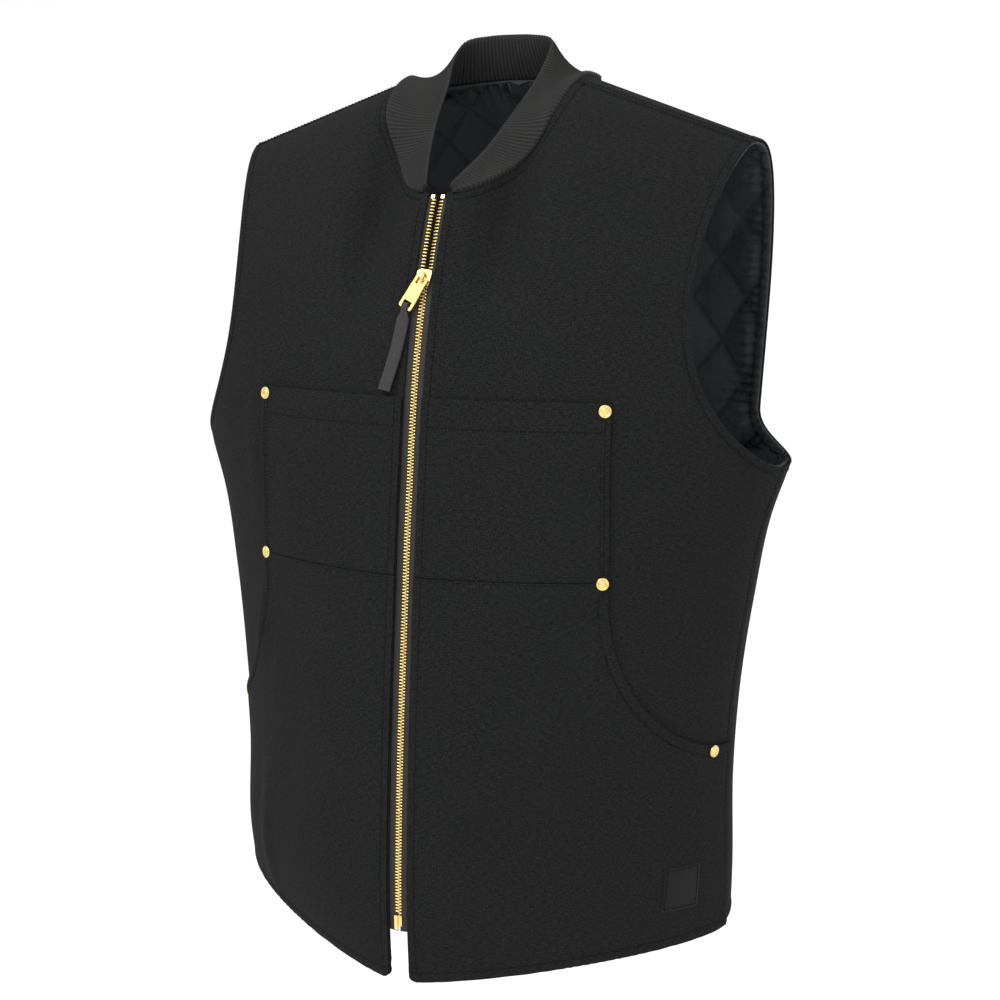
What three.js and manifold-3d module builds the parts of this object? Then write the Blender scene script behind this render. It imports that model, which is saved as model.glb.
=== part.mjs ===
// Insulated work vest: canvas shell, quilted lining, rib-knit collar, brass front zip, patch pockets, rivets.
// Millimetres, +Z up. The front faces -Y and the wearer's left is +X.
// The origin lies midway between the two points where the shoulder lines meet the collar.
import * as THREE from "three";
import { mergeVertices } from "three/addons/utils/BufferGeometryUtils.js";
import Module from "manifold-3d";

const wasm = await Module();
wasm.setup();

const FRONT = -1;
const BACK = 1;
const RIGHT_ANGLE = Math.PI / 2;

// Body sections from the hem up: height, half width at the side seam, depth in front and behind of the
// side seams, and the squareness of the front half (2 is an ellipse, less is more like a ship's bow)
const BODY = [
  { z: -710, halfWidth: 218, front: 156, back: 141, squareness: 1.25 },
  { z: -640, halfWidth: 219, front: 160, back: 138, squareness: 1.55 },
  { z: -560, halfWidth: 217, front: 159, back: 136, squareness: 1.6 },
  { z: -480, halfWidth: 221, front: 155, back: 136, squareness: 1.7 },
  { z: -408, halfWidth: 230, front: 150, back: 139, squareness: 1.7 },
  { z: -340, halfWidth: 242, front: 145, back: 144, squareness: 1.7 },
  { z: -300, halfWidth: 255, front: 141, back: 150, squareness: 1.71 },
  { z: -190, halfWidth: 274, front: 138, back: 156, squareness: 1.71 },
  { z: 70, halfWidth: 280, front: 144, back: 156, squareness: 1.71 },
];
const BACK_SQUARENESS = 2.4;

// Hem heights, the hem stays low in the middle and rises towards the side seam
const HEM_FRONT_Z = -705;
const HEM_SIDE_Z = -680;
const HEM_BACK_Z = -688;
const HEM_POWER = 1.4;
const HEM_FOLD = 15;

// Shoulder line from the neck point to the tip, and how roundly each half turns over it
const UNDERARM_Z = -300;
const NECK_POINT = { x: 85, y: 26 };
const SHOULDER_TIP = { x: 220, y: 19, z: -48 };
const FRONT_TURN = 1.85;
const BACK_TURN = { middle: 2.5, tip: 3 };
const SEAM_SHARE = 0.975;
const SEAM_GAP_SHARE = 0.0015;

// Armhole edges: narrowest half width and the share of the height where it lies
const UNDERARM_X = 255;
const ARMHOLE_FRONT = { x: 197, share: 0.5, lowPower: 2.35, highPower: 1.85 };
const ARMHOLE_BACK = { x: 207, share: 0.14, lowPower: 2.4, highPower: 1.3 };

// Neckline: where it starts at the zip, where it meets the shoulder line and its middle behind
const NECK_START = { x: 12, share: 0.663, below: 0.02 };
const NECK_SIDE_X = 77;
const NECK_POWER = 1.8;
const NECK_BACK_SHARE = 0.973;

// Hollow of the chest beside the collar: its depth, its place across and the shares of the height it spans
const HOLLOW = { depth: 24, x: 54, width: 20, low: 0.3, full: 0.65, fade: 0.8, end: 0.97 };

// Cloth thicknesses and the gap that sewn pieces keep
const SHELL = 1.5;
const LINING = 4;
const COLLAR = 4;
const PATCH = 1.3;
const TAPE = 1;
const GAP = 0.35;
const LINING_OUTER = -SHELL - GAP;

// Front edge at the zip, the strip of the edge that covers the tape, and the gap left in the side seams
const FRONT_EDGE_X = 8;
const EDGE_STRIP = 14;
const SIDE_GAP_ANGLE = 0.0012;

// Collar free edge from the zip round to the middle of the back
const COLLAR_EDGE = [
  { x: 9, y: -92, z: -87 },
  { x: 22, y: -56, z: -60 },
  { x: 32, y: -21, z: -30 },
  { x: 37, y: 9.5, z: -4 },
  { x: 39.5, y: 30.5, z: 21.5 },
  { x: 35.5, y: 43, z: 34.5 },
  { x: 19, y: 49, z: 38.5 },
  { x: 0, y: 51, z: 39.5 },
];
const COLLAR_ROWS = 4;
const COLLAR_CROWN = 3;
const COLLAR_FULL = 40;
const COLLAR_CLEARANCE = 0.6;

// Patch pockets: top edge, cross seam, outer edge and the quarter-oval hand mouth that ends in the side seam
const POCKET_TOP_Z = -246;
const POCKET_EDGE_X = 148;
const MOUTH_TOP_Z = -394;
const MOUTH_DROP = 130;
const PATCH_LIFT = 1.3;
const POCKET_COLUMN = 4;

// Zip: ends, opening above the slider and the sizes of its parts
const ZIP_TOP_Z = -97;
const ZIP_BOTTOM_Z = -650;
const TAPE_TOP_Z = -95;
const TAPE_BOTTOM_Z = -664;
const SLIDER_Z = -157;
const ZIP_OPENING = 2.4;
const TEETH = { near: 0.3, far: 3.1, rise: 1.4 };
const TAPE_EDGE = { near: 3.5, far: 17.5 };
const TAPE_DEPTH = SHELL + 2 * GAP;
// Depth of the middle of the teeth, which the slider, stops, pin and box share
const ZIP_DEPTH = TAPE_DEPTH + 0.4;

const BRIDGE_CENTRE = { up: 0, out: 2.4 };
const SLIDER = { width: 12.4, bottom: 9.9, corner: 2.5, length: 13, plate: 1.5, clearance: 0.6 };
const POST = { top: 2, bottom: 1.4, length: 5.4, below: 0.4, corner: 0.3 };
const BRIDGE = { width: 2.4, foot: 1.5, inner: 2.7, height: 3, wall: 1.3 };
const TAB = { length: 28, top: 10.6, bottom: 12, corner: 2, thick: 1.5, bar: 1.6 };
const TAB_EYE = { half: 3.3, length: 5.6 };
const TAB_HOLE = { half: 3.6, length: 4.2, margin: 2.2 };
const TAB_TURN = THREE.MathUtils.degToRad(-27);
const TAB_TILT = THREE.MathUtils.degToRad(1.5);
const STRAP = { length: 62, width: 10, thick: 1.6, neck: 5, loop: 7.4 };
const STRAP_TURN = THREE.MathUtils.degToRad(17);
const STRAP_TILT = THREE.MathUtils.degToRad(3);

// Rivets by place on the front: angle round the body, or distance from the zip, and height
const RIVET = { radius: 5, rim: 0.8, crown: 3.1, flat: 1.9, segments: 12 };
const RIVET_HEIGHT = { side: 1, rim: 1.76, groove: 1.32, crown: 2.2 };
const RIVETS = [
  { name: "top", x: 143.5, z: -252 },
  { name: "middle", x: 144, z: -382 },
  { name: "low", angle: THREE.MathUtils.degToRad(83), z: -526 },
];

// Label patch on the left front
const LABEL = { angle: THREE.MathUtils.degToRad(75.7), z: -634, width: 31, height: 36, thick: 1, steps: 4 };

const COLOURS = {
  canvas: { color: 0x272829, roughness: 0.9, metalness: 0 },
  lining: { color: 0x1b1c20, roughness: 0.45, metalness: 0 },
  knit: { color: 0x343331, roughness: 0.95, metalness: 0 },
  tape: { color: 0x2e2e2c, roughness: 0.9, metalness: 0 },
  strap: { color: 0x323233, roughness: 0.85, metalness: 0 },
  brass: { color: 0xd9bb6a, roughness: 0.3, metalness: 1 },
};

// Smooth reading of one column of a table, with slopes weighted by the spacing of its rows
function readTable(rows, column, place, key = "z") {
  const last = rows.length - 1;
  const at = Math.min(Math.max(place, rows[0][key]), rows[last][key]);
  let i = 0;
  while (i < last - 1 && at > rows[i + 1][key]) i += 1;
  const step = (j) => rows[j + 1][key] - rows[j][key];
  const rise = (j) => (rows[j + 1][column] - rows[j][column]) / step(j);
  const slope = (j) => {
    if (j === 0) return rise(0);
    if (j === last) return rise(last - 1);
    return (step(j) * rise(j - 1) + step(j - 1) * rise(j)) / (step(j) + step(j - 1));
  };
  const h = step(i);
  const t = (at - rows[i][key]) / h;
  const s = 1 - t;
  return (1 + 2 * t) * s * s * rows[i][column] + t * s * s * h * slope(i)
    + t * t * (3 - 2 * t) * rows[i + 1][column] - t * t * s * h * slope(i + 1);
}

const lerp = THREE.MathUtils.lerp;

// Height of the shoulder line over a distance from the middle: straight outside the neck, level in the middle
function shoulderHeight(x) {
  const slope = SHOULDER_TIP.z / (SHOULDER_TIP.x - NECK_POINT.x);
  const out = Math.abs(x);
  if (out > NECK_POINT.x) return slope * (out - NECK_POINT.x);
  return slope * (out * out - NECK_POINT.x ** 2) / (2 * NECK_POINT.x);
}

function shoulderDepth(x) {
  const share = (Math.abs(x) - NECK_POINT.x) / (SHOULDER_TIP.x - NECK_POINT.x);
  return lerp(NECK_POINT.y, SHOULDER_TIP.y, Math.max(share, 0));
}

// Half width, depth and squareness of the body section at a height
function section(side, z) {
  return {
    width: readTable(BODY, "halfWidth", z),
    depth: readTable(BODY, side === FRONT ? "front" : "back", z),
    power: side === FRONT ? readTable(BODY, "squareness", z) : BACK_SQUARENESS,
  };
}

function sectionDepth(side, x, z) {
  const { width, depth, power } = section(side, z);
  const share = Math.min(Math.abs(x) / width, 1);
  return depth * (1 - share ** power) ** (1 / power);
}

function sectionAngle(side, x, z) {
  return Math.atan2(x, sectionDepth(side, x, z));
}

// Point under the arms by its angle from the middle of the front or back
function bodyPoint(side, angle, z) {
  const { width, depth, power } = section(side, z);
  const across = Math.abs(Math.sin(angle) / width) ** power;
  const along = Math.abs(Math.cos(angle) / depth) ** power;
  const radius = (across + along) ** (-1 / power);
  return new THREE.Vector3(radius * Math.sin(angle), side * radius * Math.cos(angle), z);
}

// How far the front lies back in the hollow beside the collar
function hollowDepth(x, share) {
  const across = Math.exp(-(((Math.abs(x) - HOLLOW.x) / HOLLOW.width) ** 2));
  const rise = THREE.MathUtils.smoothstep(share, HOLLOW.low, HOLLOW.full);
  const fall = THREE.MathUtils.smoothstep(share, HOLLOW.fade, HOLLOW.end);
  return HOLLOW.depth * across * rise * (1 - fall);
}

// Point above the underarm height, share is 0 there and 1 at the shoulder line
function yokePoint(side, x, share) {
  const z = UNDERARM_Z + share * (shoulderHeight(x) - UNDERARM_Z);
  const toTip = Math.min(Math.abs(x) / SHOULDER_TIP.x, 1);
  const turn = side === FRONT ? FRONT_TURN : lerp(BACK_TURN.middle, BACK_TURN.tip, toTip);
  const left = Math.max(1 - share ** turn, 0) ** (1 / turn);
  const hollow = side === FRONT ? hollowDepth(x, share) : 0;
  const y = shoulderDepth(x) * (1 - left) + side * sectionDepth(side, x, z) * left + hollow;
  return new THREE.Vector3(x, y, z);
}

function yokeShare(x, z) {
  return (z - UNDERARM_Z) / (shoulderHeight(x) - UNDERARM_Z);
}

// Point of the front at a distance from the middle and a height, above or below the arms
function frontPoint(x, z) {
  if (z >= UNDERARM_Z) return yokePoint(FRONT, x, yokeShare(x, z));
  return bodyPoint(FRONT, sectionAngle(FRONT, x, z), z);
}

function hemHeight(side, angle) {
  const middle = side === FRONT ? HEM_FRONT_Z : HEM_BACK_Z;
  return lerp(middle, HEM_SIDE_Z, (angle / RIGHT_ANGLE) ** HEM_POWER);
}

// Half width of the armhole edge at a share of the height
function armholeX(side, share) {
  const hole = side === FRONT ? ARMHOLE_FRONT : ARMHOLE_BACK;
  if (share < hole.share) {
    return hole.x + (UNDERARM_X - hole.x) * (1 - share / hole.share) ** hole.lowPower;
  }
  const climb = (share - hole.share) / (1 - hole.share);
  return hole.x + (SHOULDER_TIP.x - hole.x) * climb ** hole.highPower;
}

// Half width of the neckline in front at a share of the height
function neckX(share) {
  const down = Math.max(1 - share, 0) / (1 - NECK_START.share);
  const out = Math.max(1 - down ** NECK_POWER, 0) ** (1 / NECK_POWER);
  return lerp(NECK_START.x, NECK_SIDE_X, out);
}

// A sheet of cloth as vertices with outward normals and the quads between them
class Sheet {
  constructor() {
    this.points = [];
    this.quads = [];
    this.fixedNormals = new Map();
  }

  add(point) {
    this.points.push(point);
    return this.points.length - 1;
  }

  // Quads between rows of vertex numbers
  fill(rows) {
    for (let r = 0; r + 1 < rows.length; r += 1) {
      for (let c = 0; c + 1 < rows[r].length; c += 1) {
        const corners = [rows[r][c], rows[r][c + 1], rows[r + 1][c + 1], rows[r + 1][c]];
        this.quads.push({ row: r, column: c, corners });
      }
    }
  }

  normals() {
    const sums = this.points.map(() => new THREE.Vector3());
    for (const { corners } of this.quads) {
      const [a, b, c, d] = corners;
      const first = new THREE.Vector3().subVectors(this.points[c], this.points[a]);
      const second = new THREE.Vector3().subVectors(this.points[d], this.points[b]);
      const across = first.cross(second);
      for (const i of corners) sums[i].add(across);
    }
    for (const [i, normal] of this.fixedNormals) sums[i].copy(normal);
    return sums.map((n) => n.normalize());
  }

  // Closed wall between two distances from the sheet, counted outward, over the quads that are kept
  wall(outer, inner, keep = () => true) {
    const normals = this.normals();
    const kept = this.quads.filter(keep).map(({ corners }) => corners);
    const used = [...new Set(kept.flat())];
    const place = new Map(used.map((i, n) => [i, n]));
    const count = used.length;
    const positions = [];
    for (const distance of [outer, inner]) {
      for (const i of used) {
        positions.push(...this.points[i].clone().addScaledVector(normals[i], distance).toArray());
      }
    }
    const index = [];
    const quad = (a, b, c, d) => index.push(a, b, c, a, c, d);
    const edges = new Map();
    for (const corners of kept) {
      const [a, b, c, d] = corners.map((i) => place.get(i));
      quad(a, b, c, d);
      index.push(c + count, b + count, a + count, d + count, c + count, a + count);
      for (const [from, to] of [[a, b], [b, c], [c, d], [d, a]]) {
        if (!edges.delete(`${to},${from}`)) edges.set(`${from},${to}`, [from, to]);
      }
    }
    for (const [from, to] of edges.values()) quad(to, from, from + count, to + count);
    const geometry = new THREE.BufferGeometry();
    geometry.setAttribute("position", new THREE.Float32BufferAttribute(positions, 3));
    geometry.setIndex(index);
    return geometry;
  }
}

// The same geometry on the other side of the body
function mirrored(geometry) {
  const copy = geometry.clone();
  copy.applyMatrix4(new THREE.Matrix4().makeScale(-1, 1, 1));
  const index = Array.from(copy.index.array);
  for (let i = 0; i < index.length; i += 3) [index[i], index[i + 1]] = [index[i + 1], index[i]];
  copy.setIndex(index);
  return copy;
}

const series = (count, from, to) => Array.from({ length: count + 1 }, (_, i) => lerp(from, to, i / count));

// Distances across one row of a panel: an edge strip first where asked, then even angles round the body
function rowDistances(side, z, inner, outer, columns, strip) {
  const start = strip ? inner + strip : inner;
  const from = sectionAngle(side, start, z);
  const to = sectionAngle(side, outer, z);
  const { width } = section(side, z);
  const places = series(columns, from, to).map((angle) => Math.min(bodyPoint(side, angle, z).x, width));
  places[0] = start;
  places[columns] = outer;
  return strip ? [inner, ...places] : places;
}

// Rows of a panel from the hem to the underarm, each a list of points from the middle to the side seam
function bodyRows(side, lifts, inner, columns, strip) {
  return lifts.map((lift) => {
    const lowest = hemHeight(side, 0);
    const z = lerp(lowest, UNDERARM_Z, lift);
    const start = sectionAngle(side, inner + (strip ?? 0), z);
    const angles = series(columns, start, RIGHT_ANGLE - SIDE_GAP_ANGLE);
    if (strip) angles.unshift(sectionAngle(side, inner, z));
    return angles.map((angle) => bodyPoint(side, angle, lerp(hemHeight(side, angle), UNDERARM_Z, lift)));
  });
}

// One row above the underarm at a share of the height
function yokeRow(side, share, inner, columns, strip, outer = armholeX(side, share)) {
  const z = UNDERARM_Z + share * (shoulderHeight(outer) - UNDERARM_Z);
  return rowDistances(side, z, inner, outer, columns, strip).map((x) => yokePoint(side, x, share));
}

// Normal of the front at the shoulder seam, the same for both panels that meet there
function seamNormal(x) {
  const step = 0.004;
  const reach = 1;
  const up = new THREE.Vector3().subVectors(
    yokePoint(FRONT, x, SEAM_SHARE + step),
    yokePoint(FRONT, x, SEAM_SHARE - step),
  );
  const out = new THREE.Vector3().subVectors(
    yokePoint(FRONT, x + reach, SEAM_SHARE),
    yokePoint(FRONT, x - reach, SEAM_SHARE),
  );
  return out.cross(up).normalize();
}

// Makes a sheet of rows of points, with the normals that neighbours share at side and shoulder seams
function sheetOfRows(rows, bodyRowCount, seamRow) {
  const sheet = new Sheet();
  const numbers = rows.map((row) => row.map((p) => sheet.add(p)));
  sheet.fill(numbers);
  const natural = sheet.normals();
  numbers.slice(0, bodyRowCount).forEach((row) => {
    const side = row[row.length - 1];
    sheet.fixedNormals.set(side, natural[side].clone().setY(0));
  });
  numbers[seamRow].forEach((i) => sheet.fixedNormals.set(i, seamNormal(sheet.points[i].x)));
  return sheet;
}

const FRONT_COLUMNS = 7;
const BACK_COLUMNS = 8;
const ROW_CROWDING = 1.7;
const hemLift = HEM_FOLD / (UNDERARM_Z - HEM_FRONT_Z);
const BODY_LIFTS = [0, ...series(8, hemLift, 1)];
const chestTop = NECK_START.share - NECK_START.below;
const CHEST_SHARES = series(7, 0, 1).slice(1).map((s) => s ** ROW_CROWDING * chestTop);
const NECK_SHARES = series(7, NECK_START.share, SEAM_SHARE - SEAM_GAP_SHARE);

// Rows of a front panel from the hem to the shoulder seam
function frontRows() {
  const lower = bodyRows(FRONT, BODY_LIFTS, FRONT_EDGE_X, FRONT_COLUMNS, EDGE_STRIP);
  const chest = CHEST_SHARES.map((share) => yokeRow(FRONT, share, FRONT_EDGE_X, FRONT_COLUMNS, EDGE_STRIP));
  const neck = NECK_SHARES.map((share) => yokeRow(FRONT, share, neckX(share), FRONT_COLUMNS, EDGE_STRIP));
  return [...lower, ...chest, ...neck];
}

// Front panel and its lining, which starts past the zip tape and above the hem fold
function frontPanels() {
  const rows = frontRows();
  const sheet = sheetOfRows(rows, BODY_LIFTS.length, rows.length - 1);
  const inside = ({ row, column }) => row > 0 && column > 0;
  const normals = sheet.normals();
  const innerEdge = rows.map((row, r) => ({ point: row[0], normal: normals[r * row.length] }));
  return {
    shell: sheet.wall(0, -SHELL),
    lining: sheet.wall(LINING_OUTER, LINING_OUTER - LINING, inside),
    neck: innerEdge.slice(-NECK_SHARES.length),
  };
}

const BACK_SHARES = series(10, 0, 1).slice(1).map((s) => s ** ROW_CROWDING * NECK_BACK_SHARE);
const NECK_ANGLES = series(6, 0, RIGHT_ANGLE).slice(1);

// Rows of the left half of the back, over the shoulder line and forward to the seam
function backRows() {
  const lower = bodyRows(BACK, BODY_LIFTS, 0, BACK_COLUMNS);
  const upper = BACK_SHARES.map((share) => yokeRow(BACK, share, 0, BACK_COLUMNS));
  const neck = NECK_ANGLES.map((angle) => {
    const share = 1 - (1 - NECK_BACK_SHARE) * Math.cos(angle);
    return yokeRow(BACK, share, NECK_SIDE_X * Math.sin(angle), BACK_COLUMNS);
  });
  const over = yokeRow(FRONT, SEAM_SHARE, neckX(SEAM_SHARE), BACK_COLUMNS);
  return { rows: [...lower, ...upper, ...neck, over], joined: lower.length + upper.length };
}

// Whole back sheet: two mirrored halves that share the middle line up to the neck
function backSheet(rows, joined, bodyRowCount) {
  const sheet = new Sheet();
  const left = rows.map((row) => row.map((p) => sheet.add(p)));
  const right = rows.map((row, r) => row.map((p, c) => {
    if (c === 0 && r < joined) return left[r][0];
    return sheet.add(new THREE.Vector3(-p.x, p.y, p.z));
  }));
  sheet.fill(left.map((row) => [...row].reverse()));
  sheet.fill(right);
  const natural = sheet.normals();
  const last = rows.length - 1;
  for (const half of [left, right]) {
    half.slice(0, bodyRowCount).forEach((row) => {
      const side = row[row.length - 1];
      sheet.fixedNormals.set(side, natural[side].clone().setY(0));
    });
    half[last].forEach((i) => {
      const { x } = sheet.points[i];
      const normal = seamNormal(Math.abs(x));
      normal.x *= Math.sign(x);
      sheet.fixedNormals.set(i, normal);
    });
  }
  return sheet;
}

function backPanels() {
  const { rows, joined } = backRows();
  const sheet = backSheet(rows, joined, BODY_LIFTS.length);
  const inside = ({ row }) => row > 0;
  const normals = sheet.normals();
  const innerEdge = rows.map((row, r) => ({ point: row[0], normal: normals[r * row.length] }));
  return {
    shell: sheet.wall(0, -SHELL),
    lining: sheet.wall(LINING_OUTER, LINING_OUTER - LINING, inside),
    neck: innerEdge.slice(joined - 1).reverse(),
  };
}

// Share of the way along a line of points at each of them
function lengthShares(points) {
  const sums = [0];
  for (let i = 1; i < points.length; i += 1) sums.push(sums[i - 1] + points[i].distanceTo(points[i - 1]));
  return sums.map((length) => length / sums[sums.length - 1]);
}

// Rib-knit band between the neck edges of the panels and the free edge, slightly crowned
function collarBand(neck) {
  const shares = lengthShares(neck.map(({ point }) => point));
  const points = COLLAR_EDGE.map(({ x, y, z }) => new THREE.Vector3(x, y, z));
  const reflected = points.slice(0, -1).reverse().map((p) => new THREE.Vector3(-p.x, p.y, p.z));
  const edge = new THREE.CatmullRomCurve3([...points, ...reflected], false, "centripetal");
  const last = neck.length - 1;
  const sheet = new Sheet();
  const half = neck.map(({ point, normal }, i) => {
    const before = i === 0 ? point : neck[i - 1].point;
    const mirrored = new THREE.Vector3(-neck[last - 1].point.x, point.y, point.z);
    const after = i === last ? mirrored : neck[i + 1].point;
    const along = new THREE.Vector3().subVectors(after, before);
    const inward = new THREE.Vector3().crossVectors(normal, along).normalize();
    const foot = point.clone().addScaledVector(inward, COLLAR_CLEARANCE);
    const rise = new THREE.Vector3().subVectors(edge.getPointAt(shares[i] / 2), foot);
    const out = new THREE.Vector3().crossVectors(along, rise).normalize().negate();
    const column = series(COLLAR_ROWS, 0, 1).map((w) => {
      const crown = 4 * w * (1 - w) * COLLAR_CROWN * Math.min(rise.length() / COLLAR_FULL, 1);
      return foot.clone().addScaledVector(rise, w).addScaledVector(out, -crown);
    });
    return { column, normal };
  });
  const other = half.slice(0, -1).reverse().map(({ column, normal }) => ({
    column: column.map((p) => new THREE.Vector3(-p.x, p.y, p.z)),
    normal: new THREE.Vector3(-normal.x, normal.y, normal.z),
  }));
  const rows = [...half, ...other].reverse().map(({ column, normal }) => {
    const numbers = column.map((p) => sheet.add(p));
    sheet.fixedNormals.set(numbers[0], normal);
    return numbers;
  });
  sheet.fill(rows);
  return sheet.wall(0, -COLLAR);
}

// Height of the hand mouth at a share of the way round from the pocket's outer edge to the side seam
function mouthHeight(share) {
  return MOUTH_TOP_Z - MOUTH_DROP * Math.sqrt(1 - (1 - share) ** 2);
}

// Patch pocket: a block above the mouth as wide as the chest pocket, and one below it out to the side seam
function pocketPatch() {
  const angleAt = (column, z) => {
    const start = sectionAngle(FRONT, FRONT_EDGE_X + EDGE_STRIP, z);
    return lerp(start, RIGHT_ANGLE - SIDE_GAP_ANGLE, column / FRONT_COLUMNS);
  };
  const columns = [0, 1, 2, 3, 4, 4.1, 4.3, 4.6, 5, 5.5, 6, 6.5, 7];
  const edgeAngle = (z) => sectionAngle(FRONT, FRONT_EDGE_X + GAP, z);
  const lower = series(5, 0, 1).map((up) => {
    const heights = columns.map((column) => {
      const share = Math.max((column - POCKET_COLUMN) / (FRONT_COLUMNS - POCKET_COLUMN), 0);
      const hem = hemHeight(FRONT, angleAt(column, HEM_FRONT_Z));
      return lerp(hem, mouthHeight(share), up);
    });
    const row = columns.map((column, i) => bodyPoint(FRONT, angleAt(column, heights[i]), heights[i]));
    return [bodyPoint(FRONT, edgeAngle(heights[0]), heights[0]), ...row];
  });
  const upper = series(4, MOUTH_TOP_Z, POCKET_TOP_Z).slice(1).map((z) => {
    const from = sectionAngle(FRONT, FRONT_EDGE_X + EDGE_STRIP, z);
    const reach = series(POCKET_COLUMN, from, sectionAngle(FRONT, POCKET_EDGE_X, z));
    const across = [FRONT_EDGE_X + GAP, ...reach.map((angle) => bodyPoint(FRONT, angle, z).x)];
    return across.map((x) => frontPoint(x, z));
  });
  const sheet = new Sheet();
  const lowRows = lower.map((row) => row.map((p) => sheet.add(p)));
  sheet.fill(lowRows);
  const joint = lowRows[lowRows.length - 1].slice(0, POCKET_COLUMN + 2);
  sheet.fill([joint, ...upper.map((row) => row.map((p) => sheet.add(p)))]);
  return sheet.wall(PATCH_LIFT + PATCH, PATCH_LIFT);
}

// How far each half of the zip has moved aside at a height, nothing below the slider
function zipOpening(z) {
  const reach = SLIDER.length / 2;
  const share = (z - (SLIDER_Z - reach)) / reach;
  return ZIP_OPENING * Math.min(Math.max(share, 0), 1);
}

const sliderReach = SLIDER.length / 2;
const panelHeights = frontRows().map((row) => row[0].z);
const zipHeights = [
  ZIP_BOTTOM_Z,
  ...panelHeights.filter((z) => z > ZIP_BOTTOM_Z + sliderReach && z < SLIDER_Z - 2 * sliderReach),
  SLIDER_Z - sliderReach,
  SLIDER_Z,
  ...panelHeights.filter((z) => z > SLIDER_Z + 2 * sliderReach && z < ZIP_TOP_Z - sliderReach),
  ZIP_TOP_Z,
];

// Strip of the zip that follows the front, between two distances from the middle
function zipStrip(heights, places, outer, inner) {
  const sheet = new Sheet();
  const rows = heights.map((z) => places.map((x) => sheet.add(frontPoint(x + zipOpening(z), z))));
  sheet.fill(rows);
  return sheet.wall(-outer, -inner);
}

function zipTape() {
  const heights = [TAPE_BOTTOM_Z, ...zipHeights.slice(1, -1), TAPE_TOP_Z];
  const places = [TAPE_EDGE.near, FRONT_EDGE_X, TAPE_EDGE.far];
  const outer = TAPE_DEPTH + GAP / 2;
  return zipStrip(heights, places, outer, outer + TAPE);
}

function zipTeeth() {
  return zipStrip(zipHeights, [TEETH.near, TEETH.far], ZIP_DEPTH - TEETH.rise, ZIP_DEPTH + TEETH.rise);
}

// Frame on the middle of the front: across is +X, up follows the cloth, out leaves it
function zipFrame(z) {
  const reach = 4;
  const origin = frontPoint(0, z);
  const up = new THREE.Vector3().subVectors(frontPoint(0, z + reach), frontPoint(0, z - reach)).normalize();
  const across = new THREE.Vector3(1, 0, 0);
  const out = new THREE.Vector3().crossVectors(across, up);
  const basis = new THREE.Matrix4().makeBasis(across, up, out);
  return { origin, quaternion: new THREE.Quaternion().setFromRotationMatrix(basis) };
}

// Plate with a drawn outline, from one distance out to another
function plate(shape, from, to, curveSegments = 8) {
  const geometry = new THREE.ExtrudeGeometry(shape, { depth: to - from, bevelEnabled: false, curveSegments });
  geometry.translate(0, 0, from);
  return geometry;
}

// Rounded outline with its own width at the top and at the bottom
function taperedShape(top, bottom, low, high, corner) {
  const shape = new THREE.Shape();
  shape.moveTo(-bottom / 2 + corner, low);
  shape.lineTo(bottom / 2 - corner, low);
  shape.quadraticCurveTo(bottom / 2, low, bottom / 2, low + corner);
  shape.lineTo(top / 2, high - corner);
  shape.quadraticCurveTo(top / 2, high, top / 2 - corner, high);
  shape.lineTo(-top / 2 + corner, high);
  shape.quadraticCurveTo(-top / 2, high, -top / 2, high - corner);
  shape.lineTo(-bottom / 2, low + corner);
  shape.quadraticCurveTo(-bottom / 2, low, -bottom / 2 + corner, low);
  return shape;
}

function solid(geometry) {
  const bare = geometry.clone();
  bare.deleteAttribute("normal");
  bare.deleteAttribute("uv");
  const merged = mergeVertices(bare, 1e-4);
  return new wasm.Manifold(new wasm.Mesh({
    numProp: 3,
    vertProperties: new Float32Array(merged.attributes.position.array),
    triVerts: new Uint32Array(merged.index.array),
  }));
}

function geometryOf(body) {
  const mesh = body.getMesh();
  const geometry = new THREE.BufferGeometry();
  geometry.setAttribute("position", new THREE.Float32BufferAttribute(mesh.vertProperties, 3));
  geometry.setIndex(Array.from(mesh.triVerts));
  return geometry;
}

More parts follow.
